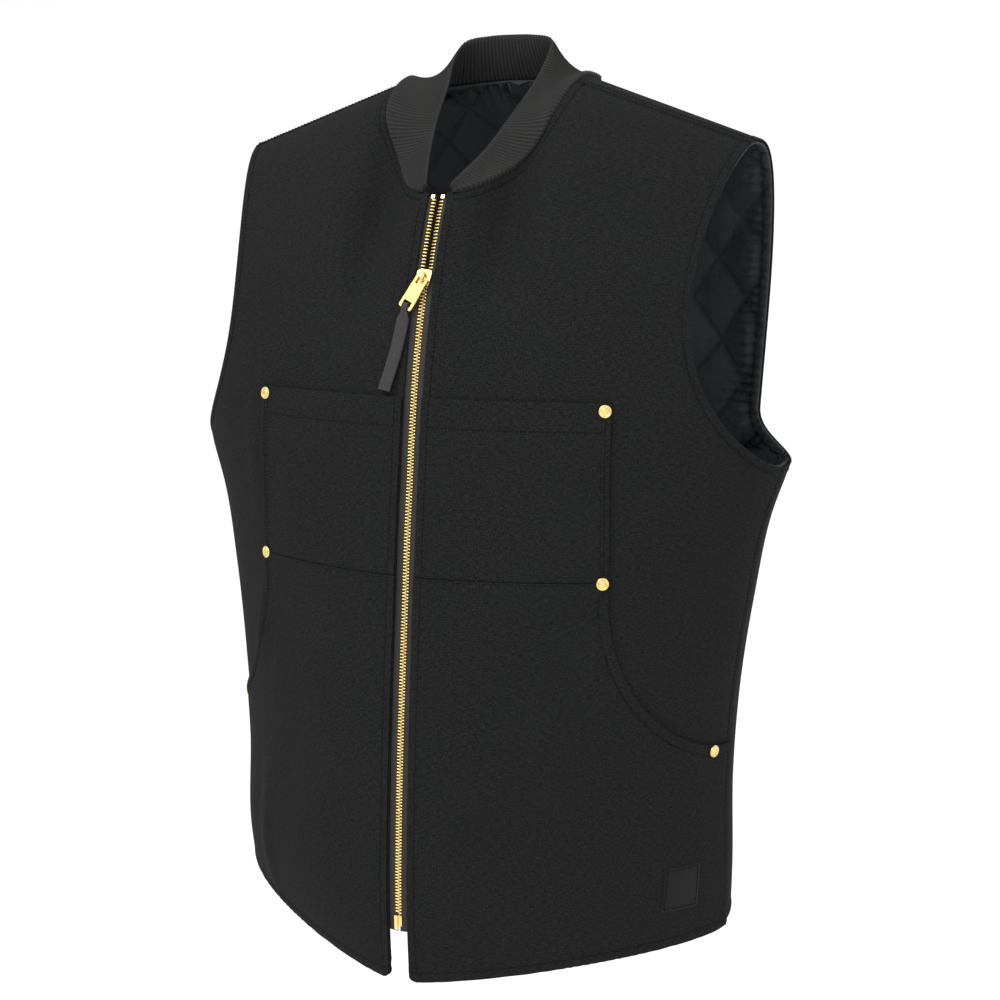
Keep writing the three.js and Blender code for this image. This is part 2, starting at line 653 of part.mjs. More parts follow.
// Slider: front and back plates round the teeth, the post between the rows and the bridge for the tab
function sliderBody() {
  const teethOut = -(ZIP_DEPTH - TEETH.rise);
  const teethIn = -(ZIP_DEPTH + TEETH.rise);
  const half = SLIDER.length / 2;
  const frontFace = teethOut + SLIDER.clearance;
  const backFace = teethIn - SLIDER.clearance;
  const top = frontFace + SLIDER.plate;
  const outline = taperedShape(SLIDER.width, SLIDER.bottom, -half, half, SLIDER.corner);
  let body = solid(plate(outline, frontFace, top, 4));
  body = body.add(solid(plate(outline, backFace - SLIDER.plate, backFace, 4)));
  const post = taperedShape(POST.top, POST.bottom, half - POST.length, half - POST.below, POST.corner);
  body = body.add(solid(plate(post, backFace - SLIDER.plate / 2, top - SLIDER.plate / 2, 2)));
  const arch = new THREE.Shape();
  const reach = BRIDGE.inner + BRIDGE.foot;
  const low = top - SLIDER.plate / 2;
  const crown = top + BRIDGE.height;
  arch.moveTo(-reach, low);
  arch.lineTo(-BRIDGE.inner, low);
  arch.lineTo(-BRIDGE.inner, crown - BRIDGE.wall);
  arch.quadraticCurveTo(-BRIDGE.inner, crown, 0, crown);
  arch.quadraticCurveTo(BRIDGE.inner, crown, BRIDGE.inner, crown - BRIDGE.wall);
  arch.lineTo(BRIDGE.inner, low);
  arch.lineTo(reach, low);
  arch.lineTo(reach, crown - BRIDGE.wall);
  arch.quadraticCurveTo(reach, crown + BRIDGE.wall, 0, crown + BRIDGE.wall);
  arch.quadraticCurveTo(-reach, crown + BRIDGE.wall, -reach, crown - BRIDGE.wall);
  arch.lineTo(-reach, low);
  const bridge = plate(arch, -BRIDGE.width / 2, BRIDGE.width / 2, 5);
  const turn = new THREE.Matrix4().makeBasis(
    new THREE.Vector3(0, 1, 0),
    new THREE.Vector3(0, 0, 1),
    new THREE.Vector3(1, 0, 0),
  );
  bridge.applyMatrix4(turn);
  return geometryOf(body.add(solid(bridge)));
}

function rectangleHole(half, low, high) {
  const hole = new THREE.Path();
  hole.moveTo(-half, low);
  hole.lineTo(-half, high);
  hole.lineTo(half, high);
  hole.lineTo(half, low);
  hole.lineTo(-half, low);
  return hole;
}

// Pull tab, its bar on the axis, hanging down: an eye for the bridge above and a slot for the strap below
function pullTab() {
  const bar = TAB.bar / 2;
  const shape = taperedShape(TAB.top, TAB.bottom, bar - TAB.length, bar, TAB.corner);
  shape.holes.push(rectangleHole(TAB_EYE.half, -bar - TAB_EYE.length, -bar));
  const low = bar - TAB.length + TAB_HOLE.margin;
  shape.holes.push(rectangleHole(TAB_HOLE.half, low, low + TAB_HOLE.length));
  return plate(shape, -TAB.thick / 2, TAB.thick / 2);
}

// Woven strap: a narrow loop round the end bar of the tab and the doubled band below it
function pullStrap() {
  const half = STRAP.thick / 2;
  const eyeHalf = TAB.thick / 2 + 2 * GAP;
  const ring = half + eyeHalf;
  const loop = new THREE.Shape();
  loop.absellipse(0, 0, STRAP.loop / 2, ring, 0, 2 * Math.PI);
  const eye = new THREE.Path();
  eye.absellipse(0, 0, STRAP.loop / 2 - half, eyeHalf, 0, 2 * Math.PI, true);
  loop.holes.push(eye);
  const collar = plate(loop, -STRAP.neck / 2, STRAP.neck / 2, 8);
  collar.applyMatrix4(new THREE.Matrix4().makeBasis(
    new THREE.Vector3(0, 1, 0),
    new THREE.Vector3(0, 0, 1),
    new THREE.Vector3(1, 0, 0),
  ));
  const start = -STRAP.loop / 2 + half / 2;
  const shoulder = new THREE.Shape();
  shoulder.moveTo(-STRAP.neck / 2, start);
  shoulder.lineTo(-STRAP.width / 2, start - STRAP.neck);
  shoulder.lineTo(-STRAP.width / 2, start - STRAP.length);
  shoulder.lineTo(STRAP.width / 2, start - STRAP.length);
  shoulder.lineTo(STRAP.width / 2, start - STRAP.neck);
  shoulder.lineTo(STRAP.neck / 2, start);
  shoulder.lineTo(-STRAP.neck / 2, start);
  return geometryOf(solid(collar).add(solid(plate(shoulder, -half, half))));
}

// Rivet cap with a raised rim round a domed middle
function rivetCap() {
  const { radius, rim, crown, flat, segments } = RIVET;
  const profile = [
    new THREE.Vector2(0, 0),
    new THREE.Vector2(radius, 0),
    new THREE.Vector2(radius, RIVET_HEIGHT.side),
    new THREE.Vector2(radius - rim / 2, RIVET_HEIGHT.rim),
    new THREE.Vector2(crown + rim / 2, RIVET_HEIGHT.rim),
    new THREE.Vector2(crown, RIVET_HEIGHT.groove),
    new THREE.Vector2(flat, RIVET_HEIGHT.crown),
    new THREE.Vector2(0, RIVET_HEIGHT.crown),
  ];
  const geometry = new THREE.LatheGeometry(profile, segments);
  geometry.rotateX(RIGHT_ANGLE);
  return geometry;
}

// Frame on the front at a point, out leaves the cloth
function clothFrame(point, nextAcross, nextUp) {
  const across = new THREE.Vector3().subVectors(nextAcross, point).normalize();
  const rough = new THREE.Vector3().subVectors(nextUp, point);
  const out = new THREE.Vector3().crossVectors(across, rough).normalize();
  const up = new THREE.Vector3().crossVectors(out, across);
  const basis = new THREE.Matrix4().makeBasis(across, up, out);
  return { origin: point, quaternion: new THREE.Quaternion().setFromRotationMatrix(basis) };
}

function rivetFrame({ x, angle, z }) {
  const step = 2;
  const turn = 0.01;
  if (angle === undefined) {
    return clothFrame(frontPoint(x, z), frontPoint(x + step, z), frontPoint(x, z + step));
  }
  const here = bodyPoint(FRONT, angle, z);
  return clothFrame(here, bodyPoint(FRONT, angle + turn, z), bodyPoint(FRONT, angle, z + step));
}

// Woven label that follows the pocket's surface
function labelPatch() {
  const centre = bodyPoint(FRONT, LABEL.angle, LABEL.z);
  const reach = LABEL.width / 2 / Math.hypot(centre.x, centre.y);
  const angles = series(LABEL.steps, LABEL.angle - reach, LABEL.angle + reach);
  const heights = series(LABEL.steps, LABEL.z - LABEL.height / 2, LABEL.z + LABEL.height / 2);
  const sheet = new Sheet();
  sheet.fill(heights.map((z) => angles.map((angle) => sheet.add(bodyPoint(FRONT, angle, z)))));
  const base = PATCH_LIFT + PATCH + GAP;
  return sheet.wall(base + LABEL.thick, base);
}

const vest = new THREE.Group();

function piece(name, geometry, finish) {
  geometry.computeVertexNormals();
  const mesh = new THREE.Mesh(geometry, new THREE.MeshStandardMaterial(COLOURS[finish]));
  mesh.name = name;
  vest.add(mesh);
  return mesh;
}

function setOn(mesh, frame, lift = new THREE.Vector3()) {
  mesh.quaternion.copy(frame.quaternion);
  mesh.position.copy(frame.origin).add(lift.applyQuaternion(frame.quaternion));
  return mesh;
}

const CLAMP_CORNER = 0.6;

// Small metal part of the zip that straddles one row, between two heights
function zipClamp(name, side, z, width, length, thick) {
  const outline = taperedShape(width, width, 0, length, CLAMP_CORNER);
  const mesh = piece(name, plate(outline, -thick / 2, thick / 2, 2), "brass");
  const x = side * ((TEETH.near + TEETH.far) / 2 + zipOpening(z));
  return setOn(mesh, zipFrame(z), new THREE.Vector3(x, 0, -ZIP_DEPTH));
}

const { shell: frontShell, lining: frontLining, neck: frontNeck } = frontPanels();
const { shell: backShell, lining: backLining, neck: backNeck } = backPanels();
const patch = pocketPatch();
const tape = zipTape();
const teeth = zipTeeth();
piece("front_left", frontShell, "canvas");
piece("front_right", mirrored(frontShell), "canvas");
piece("back", backShell, "canvas");
piece("lining_front_left", frontLining, "lining");
piece("lining_front_right", mirrored(frontLining), "lining");
piece("lining_back", backLining, "lining");
piece("collar", collarBand([...frontNeck, ...backNeck]), "knit");
piece("pocket_left", patch, "canvas");
piece("pocket_right", mirrored(patch), "canvas");
piece("zip_tape_left", tape, "tape");
piece("zip_tape_right", mirrored(tape), "tape");
piece("zip_teeth_left", teeth, "brass");
piece("zip_teeth_right", mirrored(teeth), "brass");

const STOP = { width: 3, length: 3, thick: 3, gap: 0.7 };
zipClamp("zip_stop_left", 1, ZIP_TOP_Z + STOP.gap, STOP.width, STOP.length, STOP.thick);
zipClamp("zip_stop_right", -1, ZIP_TOP_Z + STOP.gap, STOP.width, STOP.length, STOP.thick);

// Pin on the left row and the box on the right one, side by side under the last teeth
const PIN = { width: 2.6, length: 9, thick: 2.6 };
const BOX = { width: 2.8, length: 12, thick: 4 };
zipClamp("zip_pin", 1, ZIP_BOTTOM_Z - GAP - PIN.length, PIN.width, PIN.length, PIN.thick);
zipClamp("zip_box", -1, ZIP_BOTTOM_Z - GAP - BOX.length, BOX.width, BOX.length, BOX.thick);

const sliderFrame = zipFrame(SLIDER_Z);
setOn(piece("zip_slider", sliderBody(), "brass"), sliderFrame);

// The tab and its strap hang on the bridge, turned aside as they lie on the cloth
const pull = new THREE.Group();
setOn(pull, sliderFrame, new THREE.Vector3(0, BRIDGE_CENTRE.up, BRIDGE_CENTRE.out));
pull.rotateZ(TAB_TURN);
pull.rotateX(TAB_TILT);
vest.add(pull);
pull.add(piece("pull_tab", pullTab(), "brass"));
const strap = piece("pull_strap", pullStrap(), "strap");
strap.position.set(0, TAB.bar / 2 - TAB.length + TAB_HOLE.margin / 2, 0);
strap.rotation.set(STRAP_TILT, 0, STRAP_TURN);
pull.add(strap);

const patchTop = PATCH_LIFT + PATCH + GAP;
for (const [word, side] of [["left", 1], ["right", -1]]) {
  for (const rivet of RIVETS) {
    const frame = rivetFrame(rivet);
    const mesh = piece(`rivet_${word}_${rivet.name}`, rivetCap(), "brass");
    setOn(mesh, frame, new THREE.Vector3(0, 0, patchTop));
    if (side < 0) {
      mesh.position.x *= -1;
      mesh.quaternion.set(mesh.quaternion.x, -mesh.quaternion.y, -mesh.quaternion.z, mesh.quaternion.w);
    }
  }
}
piece("label_patch", labelPatch(), "canvas");

export default vest;
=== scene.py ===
"""Insulated work vest in its worn form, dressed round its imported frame.

Sizes are in millimetres inside the classes and turned into metres when a mesh is made. The front
faces -Y and the wearer's left is +X.
"""
import logging
import math
from dataclasses import dataclass, field, replace
from enum import Enum
from typing import NamedTuple, Sequence

import bmesh
import bpy
import numpy as np
from mathutils import Matrix, Vector


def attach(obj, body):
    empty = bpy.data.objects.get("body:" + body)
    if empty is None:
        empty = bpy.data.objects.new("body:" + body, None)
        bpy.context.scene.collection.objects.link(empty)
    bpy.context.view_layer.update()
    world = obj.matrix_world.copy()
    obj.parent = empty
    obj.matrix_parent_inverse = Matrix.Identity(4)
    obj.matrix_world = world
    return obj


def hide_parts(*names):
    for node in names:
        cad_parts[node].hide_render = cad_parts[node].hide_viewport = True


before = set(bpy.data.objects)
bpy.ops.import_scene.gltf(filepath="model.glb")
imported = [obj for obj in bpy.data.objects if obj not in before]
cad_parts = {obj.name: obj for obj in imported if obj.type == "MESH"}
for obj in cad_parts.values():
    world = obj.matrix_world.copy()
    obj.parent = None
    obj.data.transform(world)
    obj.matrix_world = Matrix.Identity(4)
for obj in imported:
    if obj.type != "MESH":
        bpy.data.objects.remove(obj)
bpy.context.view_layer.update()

LOG = logging.getLogger("vest")
MM = 0.001
RIGHT_ANGLE = math.pi / 2
Array = np.ndarray


class Side(Enum):
    """Front or back half of the body, valued by the sign of Y."""

    FRONT = -1
    BACK = 1


class Hand(Enum):
    """Wearer's left or right, valued by the sign of X."""

    LEFT = 1
    RIGHT = -1

    @property
    def word(self) -> str:
        """Left or right, as the names of pieces say it."""
        return self.name.lower()


class Hold(Enum):
    """How a sheet of cloth is held."""

    HUNG = "hung"
    STRETCHED = "stretched"
    FOLDED = "folded"


class Body(Enum):
    """Bodies of the frame that pieces ride on."""

    VEST = "vest"
    PULL = "pull"


# Body sections from the hem up
BODY = {
    "z": (-710, -640, -560, -480, -408, -340, -300, -190, 70),
    "half_width": (218, 219, 217, 221, 230, 242, 255, 274, 280),
    "front": (156, 160, 159, 155, 150, 145, 141, 138, 144),
    "back": (141, 138, 136, 136, 139, 144, 150, 156, 156),
    "squareness": (1.25, 1.55, 1.6, 1.7, 1.7, 1.7, 1.71, 1.71, 1.71),
}


def read_table(table: dict[str, Sequence[float]], column: str, place: Array, key: str = "z") -> Array:
    """Smooth cubic reading of one column, with slopes weighted by the spacing of the rows.

    Args:
        table: columns by name, the key column rising.
        column: name of the column to read.
        place: where to read, in the key column's unit.
        key: name of the key column.

    Returns:
        The column's values at the places.
    """
    keys = np.asarray(table[key], float)
    values = np.asarray(table[column], float)
    slopes = np.gradient(values, keys)
    at = np.clip(np.asarray(place, float), keys[0], keys[-1])
    i = np.clip(np.searchsorted(keys, at, side="right") - 1, 0, len(keys) - 2)
    h = keys[i + 1] - keys[i]
    t = (at - keys[i]) / h
    s = 1 - t
    return ((1 + 2 * t) * s * s * values[i] + t * s * s * h * slopes[i]
            + t * t * (3 - 2 * t) * values[i + 1] - t * t * s * h * slopes[i + 1])


def unit(vectors: Array) -> Array:
    """Vectors scaled to length one."""
    return vectors / np.maximum(np.linalg.norm(vectors, axis=-1, keepdims=True), 1e-9)


def smooth_step(low: float, high: float, value: Array) -> Array:
    """Zero below low, one above high, smooth between."""
    t = np.clip((value - low) / (high - low), 0, 1)
    return t * t * (3 - 2 * t)


@dataclass(frozen=True)
class Hollow:
    """Hollow of the chest beside the collar, across and over a span of shares of the height."""

    depth: float = 24
    x: float = 54
    width: float = 20
    rise: tuple[float, float] = (0.3, 0.65)
    fall: tuple[float, float] = (0.8, 0.97)

    def back(self, x: Array, share: Array) -> Array:
        """How far the front lies back: a bell across, rising and falling with the height."""
        across = np.exp(-((np.abs(x) - self.x) / self.width) ** 2)
        return self.depth * across * smooth_step(*self.rise, share) * (1 - smooth_step(*self.fall, share))


@dataclass(frozen=True)
class Form:
    """Worn form of the body of the vest: sections, shoulders, armholes, neckline and hem."""

    back_squareness: float = 2.4
    hem_front: float = -705
    hem_side: float = -680
    hem_back: float = -688
    hem_power: float = 1.4
    corner: float = 7
    corner_x: float = 8
    corner_depth: float = 156
    underarm: float = -300
    underarm_x: float = 255
    neck_point: tuple[float, float] = (85, 26)
    tip: tuple[float, float, float] = (220, 19, -48)
    front_turn: float = 1.85
    back_turn_middle: float = 2.5
    back_turn_tip: float = 3
    seam_share: float = 0.975
    arm_front: tuple[float, float, float, float] = (197, 0.5, 2.35, 1.85)
    arm_back: tuple[float, float, float, float] = (207, 0.14, 2.4, 1.3)
    neck_start: tuple[float, float] = (12, 0.663)
    neck_side_x: float = 77
    neck_power: float = 1.8
    neck_back_share: float = 0.973
    hollow: Hollow = Hollow()

    def shoulder_height(self, x: Array) -> Array:
        """Height of the shoulder line: straight outside the neck, a level parabola inside it.

        Args:
            x: distances from the middle.

        Returns:
            Heights of the line.
        """
        slope = self.tip[2] / (self.tip[0] - self.neck_point[0])
        out = np.abs(x)
        inner = slope * (out ** 2 - self.neck_point[0] ** 2) / (2 * self.neck_point[0])
        return np.where(out > self.neck_point[0], slope * (out - self.neck_point[0]), inner)

    def shoulder_depth(self, x: Array) -> Array:
        """Y of the shoulder line, straight from the neck point to the tip."""
        share = np.maximum((np.abs(x) - self.neck_point[0]) / (self.tip[0] - self.neck_point[0]), 0)
        return self.neck_point[1] + (self.tip[1] - self.neck_point[1]) * share

    def section(self, side: Side, z: Array) -> tuple[Array, Array, Array]:
        """Half width, depth and squareness of the body section at a height.

        Args:
            side: front or back.
            z: heights.

        Returns:
            The three measures at each height.
        """
        front = side is Side.FRONT
        power = self.back_squareness + 0 * np.asarray(z, float)
        if front:
            power = read_table(BODY, "squareness", z)
        depth = read_table(BODY, "front" if front else "back", z)
        return read_table(BODY, "half_width", z), depth, power

    def section_depth(self, side: Side, x: Array, z: Array) -> Array:
        """Depth of the section at a distance from the middle: b (1 - |x/a|^n)^(1/n)."""
        a, b, n = self.section(side, z)
        return b * (1 - np.minimum(np.abs(x) / a, 1) ** n) ** (1 / n)

    def section_angle(self, side: Side, x: Array, z: Array) -> Array:
        """Angle from the middle of the front or back of the section's point at a distance x."""
        return np.arctan2(x, self.section_depth(side, x, z))

    def body_point(self, side: Side, angle: Array, z: Array) -> Array:
        """Point of the section at an angle: radius (|sin/a|^n + |cos/b|^n)^(-1/n).

        Args:
            side: front or back.
            angle: angles from the middle.
            z: heights.

        Returns:
            The points.
        """
        a, b, n = self.section(side, z)
        radius = (np.abs(np.sin(angle) / a) ** n + np.abs(np.cos(angle) / b) ** n) ** (-1 / n)
        z = z + 0 * angle
        return np.stack([radius * np.sin(angle), side.value * radius * np.cos(angle), z], -1)

    def yoke_point(self, side: Side, x: Array, share: Array) -> Array:
        """Point above the underarm, the depth shrinking with the share s of the height as (1 - s^m)^(1/m).

        Args:
            side: front or back.
            x: distances from the middle.
            share: share of the height, 0 at the underarm and 1 on the shoulder line.

        Returns:
            The points.
        """
        z = self.underarm + share * (self.shoulder_height(x) - self.underarm)
        to_tip = np.minimum(np.abs(x) / self.tip[0], 1)
        turn = self.back_turn_middle + (self.back_turn_tip - self.back_turn_middle) * to_tip
        if side is Side.FRONT:
            turn = self.front_turn + 0 * to_tip
        left = np.maximum(1 - share ** turn, 0) ** (1 / turn)
        y = self.shoulder_depth(x) * (1 - left) + side.value * self.section_depth(side, x, z) * left
        if side is Side.FRONT:
            y = y + self.hollow.back(x, share)
        return np.stack([x + 0 * share, y, z + 0 * x], -1)

    def point(self, side: Side, angle: Array, z: Array) -> Array:
        """Point of the front or back at an angle and a height, above or below the underarm.

        Args:
            side: front or back.
            angle: angles from the middle.
            z: heights.

        Returns:
            The points.
        """
        low = self.body_point(side, angle, z)
        x = low[..., 0]
        share = np.clip((low[..., 2] - self.underarm) / (self.shoulder_height(x) - self.underarm), 0, 1)
        return np.where(low[..., 2:] >= self.underarm, self.yoke_point(side, x, share), low)

    def point_and_normal(self, side: Side, angle: Array, z: Array) -> tuple[Array, Array]:
        """Point with its outward normal from small steps round and up.

        Args:
            side: front or back.
            angle: angles from the middle.
            z: heights.

        Returns:
            The points and normals.
        """
        angle, z = np.broadcast_arrays(np.asarray(angle, float), np.asarray(z, float))
        turn, rise = 0.004, 0.8
        across = self.point(side, angle + turn, z) - self.point(side, angle - turn, z)
        up = self.point(side, angle, z + rise) - self.point(side, angle, z - rise)
        return self.point(side, angle, z), unit(np.cross(across, up)) * -side.value

    def flat(self, side: Side, points: Array) -> Array:
        """Flat coordinates of points of the form: length across from the middle, and height plus the turn.

        Args:
            side: half of the body that the points lie on.
            points: grid of points.

        Returns:
            Grid of lengths across and up, each summed over short chords.
        """
        x, z = points[..., 0, None], points[..., 2, None]
        step = np.sin(np.linspace(0, RIGHT_ANGLE, 26))
        share = np.clip((z - self.underarm) / (self.shoulder_height(x) - self.underarm), 0, 1)
        across = x * step
        deep = np.where(z > self.underarm, self.yoke_point(side, across, share + 0 * across)[..., 1],
                        self.section_depth(side, across, z + 0 * across))
        u = np.hypot(np.diff(across), np.diff(deep)).sum(-1) * np.sign(x[..., 0])
        rise = self.yoke_point(side, x + 0 * step, share * step)[..., 1:]
        v = np.linalg.norm(np.diff(rise, axis=-2), axis=-1).sum(-1) + np.minimum(z[..., 0], self.underarm)
        return np.stack([u, v], -1)

    def hem(self, side: Side, angle: Array) -> Array:
        """Height of the hem: a power of the angle up to the side seam, rounded off at the slit in front.

        Args:
            side: front or back.
            angle: angles from the middle.

        Returns:
            Heights of the hem.
        """
        middle = self.hem_front if side is Side.FRONT else self.hem_back
        rise = middle + (self.hem_side - middle) * (np.asarray(angle) / RIGHT_ANGLE) ** self.hem_power
        if side is Side.BACK:
            return rise
        short = self.corner - np.clip(np.asarray(angle) * self.corner_depth - self.corner_x, 0, self.corner)
        return rise + self.corner - np.sqrt(self.corner ** 2 - short ** 2)

    def armhole(self, side: Side, share: Array) -> Array:
        """Half width of the armhole edge: a power curve down to the underarm and another up to the tip.

        Args:
            side: front or back.
            share: shares of the height.

        Returns:
            Distances of the edge from the middle.
        """
        narrow, level, low_power, high_power = self.arm_front if side is Side.FRONT else self.arm_back
        low = np.clip(1 - share / level, 0, 1) ** low_power
        high = np.clip((share - level) / (1 - level), 0, 1) ** high_power
        return narrow + (self.underarm_x - narrow) * low + (self.tip[0] - narrow) * high

    def neckline(self, share: Array) -> Array:
        """Half width of the neckline in front, a rounded corner from the zip to the shoulder line.

        Args:
            share: shares of the height.

        Returns:
            Distances of the edge from the middle.
        """
        down = np.clip((1 - share) / (1 - self.neck_start[1]), 0, 1)
        out = (1 - down ** self.neck_power) ** (1 / self.neck_power)
        return self.neck_start[0] + (self.neck_side_x - self.neck_start[0]) * out


FORM = Form()


@dataclass
class Strip:
    """A grid of points with normals and flat coordinates, all in millimetres."""

    points: Array
    normals: Array
    flat: Array

    @staticmethod
    def of(points: Array, outward: Array | None = None) -> "Strip":
        """Strip of a grid, with normals from its own neighbours and flat coordinates from its lengths.

        Args:
            points: rows by columns of points.
            outward: rough outward direction that sets the normals' sense, or None for rows up, columns right.

        Returns:
            The strip.
        """
        across = np.gradient(points, axis=1)
        up = np.gradient(points, axis=0)
        normals = unit(np.cross(across, up))
        if outward is not None:
            normals *= np.sign((normals * outward).sum(-1).mean())
        wide = np.linalg.norm(np.diff(points, axis=1), axis=-1).mean(0)
        long = np.linalg.norm(np.diff(points, axis=0), axis=-1).mean(1)
        u = np.concatenate([[0], np.cumsum(wide)])
        v = np.concatenate([[0], np.cumsum(long)])
        return Strip(points, normals, np.stack(np.meshgrid(u, v), -1))

    def moved(self, lift: Array | float) -> "Strip":
        """The strip lifted along its normals."""
        return Strip(self.points + self.normals * np.asarray(lift)[..., None], self.normals, self.flat)

    def mirrored(self) -> "Strip":
        """The strip on the other side of the body, its columns reversed so that it still faces out."""
        flip = np.array([-1, 1, 1])
        return Strip((self.points * flip)[:, ::-1], (self.normals * flip)[:, ::-1], self.flat[:, ::-1])

    def area(self) -> float:
        """Area in square metres, from the diagonals of the cells."""
        p = self.points
        cells = np.cross(p[1:, 1:] - p[:-1, :-1], p[1:, :-1] - p[:-1, 1:])
        return float(np.linalg.norm(cells, axis=-1).sum() / 2) * MM * MM


def grid_faces(rows: int, columns: int, start: int = 0) -> Array:
    """Quads of a grid of vertices, counterclockwise when rows go up and columns right."""
    i = np.arange(rows * columns).reshape(rows, columns) + start
    return np.stack([i[:-1, :-1], i[:-1, 1:], i[1:, 1:], i[1:, :-1]], -1).reshape(-1, 4)


def grid_rim(rows: int, columns: int) -> Array:
    """Vertex numbers round the edge of a grid, counterclockwise."""
    i = np.arange(rows * columns).reshape(rows, columns)
    return np.concatenate([i[0, :-1], i[:-1, -1], i[-1, :0:-1], i[:0:-1, 0]])


class Mesh(NamedTuple):
    """Vertices in millimetres, quads, and flat coordinates where cloth has them."""

    points: Array
    faces: Array
    flat: Array | None = None

    @staticmethod
    def joined(parts: Sequence["Mesh"]) -> "Mesh":
        """One mesh of several that all have, or all lack, flat coordinates.

        Args:
            parts: the meshes.

        Returns:
            The mesh.
        """
        starts = np.cumsum([0] + [len(part.points) for part in parts[:-1]])
        faces = np.concatenate([part.faces + start for part, start in zip(parts, starts)])
        flat = None if parts[0].flat is None else np.concatenate([part.flat for part in parts])
        return Mesh(np.concatenate([part.points for part in parts]), faces, flat)


def make_object(name: str, shape: Mesh) -> bpy.types.Object:
    """Object of a mesh in metres with smooth faces and, where given, a UV map in metres.

    Args:
        name: name of the piece.
        shape: vertices, quads and flat coordinates in millimetres.

    Returns:
        The object, linked to the scene.
    """
    mesh = bpy.data.meshes.new(name)
    faces = np.asarray(shape.faces, np.int32)
    mesh.vertices.add(len(shape.points))
    mesh.vertices.foreach_set("co", (np.asarray(shape.points, float) * MM).astype(np.float32).ravel())
    mesh.loops.add(faces.size)
    mesh.loops.foreach_set("vertex_index", faces.ravel())
    mesh.polygons.add(len(faces))
    mesh.polygons.foreach_set("loop_start", np.arange(0, faces.size, faces.shape[1], dtype=np.int32))
    mesh.update(calc_edges=True)
    mesh.polygons.foreach_set("use_smooth", np.ones(len(faces), bool))
    if shape.flat is not None:
        layer = mesh.uv_layers.new(name="Cloth")
        layer.data.foreach_set("uv", (shape.flat[faces.ravel()] * MM).astype(np.float32).ravel())
    mesh.validate()
    obj = bpy.data.objects.new(name, mesh)
    bpy.context.scene.collection.objects.link(obj)
    return obj


def weld(obj: bpy.types.Object, distance: float) -> bpy.types.Object:
    """Merges vertices that lie within a distance in metres, and gives the object back.

    Args:
        obj: the object.
        distance: the distance in metres.

    Returns:
        The object.
    """
    work = bmesh.new()
    work.from_mesh(obj.data)
    bmesh.ops.remove_doubles(work, verts=work.verts, dist=distance)
    work.to_mesh(obj.data)
    work.free()
    return obj


def wall(strip: Strip, outer: Array | float, inner: Array | float,
         open_rim: tuple[int, int] | None = None) -> Mesh:
    """Closed wall between two distances from a strip, its edges joined by a rim.

    Args:
        strip: the sheet that the wall follows.
        outer: distance of the outer face, outward.
        inner: distance of the inner face, outward.
        open_rim: column that gets no rim because another wall joins it, and the number of rows up to which.

    Returns:
        The wall.
    """
    rows, columns = strip.points.shape[:2]
    count = rows * columns
    faces = grid_faces(rows, columns)
    rim = grid_rim(rows, columns)
    pair = np.stack([rim, np.roll(rim, -1)])
    if open_rim is not None:
        column, height = open_rim
        pair = pair[:, ~((pair % columns == column) & (pair // columns < height)).all(0)]
    edge = np.stack([pair[1], pair[0], pair[0] + count, pair[1] + count], -1)
    points = [strip.moved(away).points.reshape(-1, 3) for away in (outer, inner)]
    flat = np.concatenate([strip.flat.reshape(-1, 2)] * 2)
    return Mesh(np.concatenate(points), np.concatenate([faces, faces[:, ::-1] + count, edge]), flat)


def nearest(points: Array, line: Array) -> tuple[Array, Array]:
    """Distance to, and number of, the closest point of a list for every point of a grid.

    Args:
        points: grid of points.
        line: list of points to measure to.

    Returns:
        The distances and the numbers, in the grid's shape.
    """
    shape = points.shape[:-1]
    flat = points.reshape(-1, 3)
    best = np.empty(len(flat))
    index = np.empty(len(flat), int)
    chunk = max(1, 2_000_000 // len(line))
    for start in range(0, len(flat), chunk):
        part = flat[start:start + chunk]
        square = (part ** 2).sum(-1)[:, None] + (line ** 2).sum(-1) - 2 * part @ line.T
        index[start:start + chunk] = square.argmin(1)
        best[start:start + chunk] = np.sqrt(np.maximum(square.min(1), 0))
    return best.reshape(shape), index.reshape(shape)


def run_length(line: Array) -> Array:
    """Length along a line up to each of its points."""
    return np.concatenate([[0], np.cumsum(np.linalg.norm(np.diff(line, axis=0), axis=-1))])


class Value:
    """A shader socket that takes part in Python expressions on values."""

    def __init__(self, graph: "Graph", socket: bpy.types.NodeSocket) -> None:
        """Keeps the socket and the graph that it belongs to."""
        self.graph = graph
        self.socket = socket

    def _math(self, operation: str, first: object, second: object) -> "Value":
        """One Math node."""
        return self.graph.add("ShaderNodeMath", {"operation": operation}, {0: first, 1: second})

    def __add__(self, other: object) -> "Value":
        """Sum."""
        return self._math("ADD", self, other)

    __radd__ = __add__

    def __sub__(self, other: object) -> "Value":
        """Difference."""
        return self._math("SUBTRACT", self, other)

    def __rsub__(self, other: object) -> "Value":
        """Reflected difference."""
        return self._math("SUBTRACT", other, self)

    def __mul__(self, other: object) -> "Value":
        """Product."""
        return self._math("MULTIPLY", self, other)

    __rmul__ = __mul__

    def __gt__(self, other: object) -> "Value":
        """One where greater, else zero."""
        return self._math("GREATER_THAN", self, other)

    def least(self, other: object) -> "Value":
        """Smaller of two."""
        return self._math("MINIMUM", self, other)

    def sine(self) -> "Value":
        """Sine."""
        return self._math("SINE", self, 0.0)

    def size(self) -> "Value":
        """Absolute value."""
        return self._math("ABSOLUTE", self, 0.0)


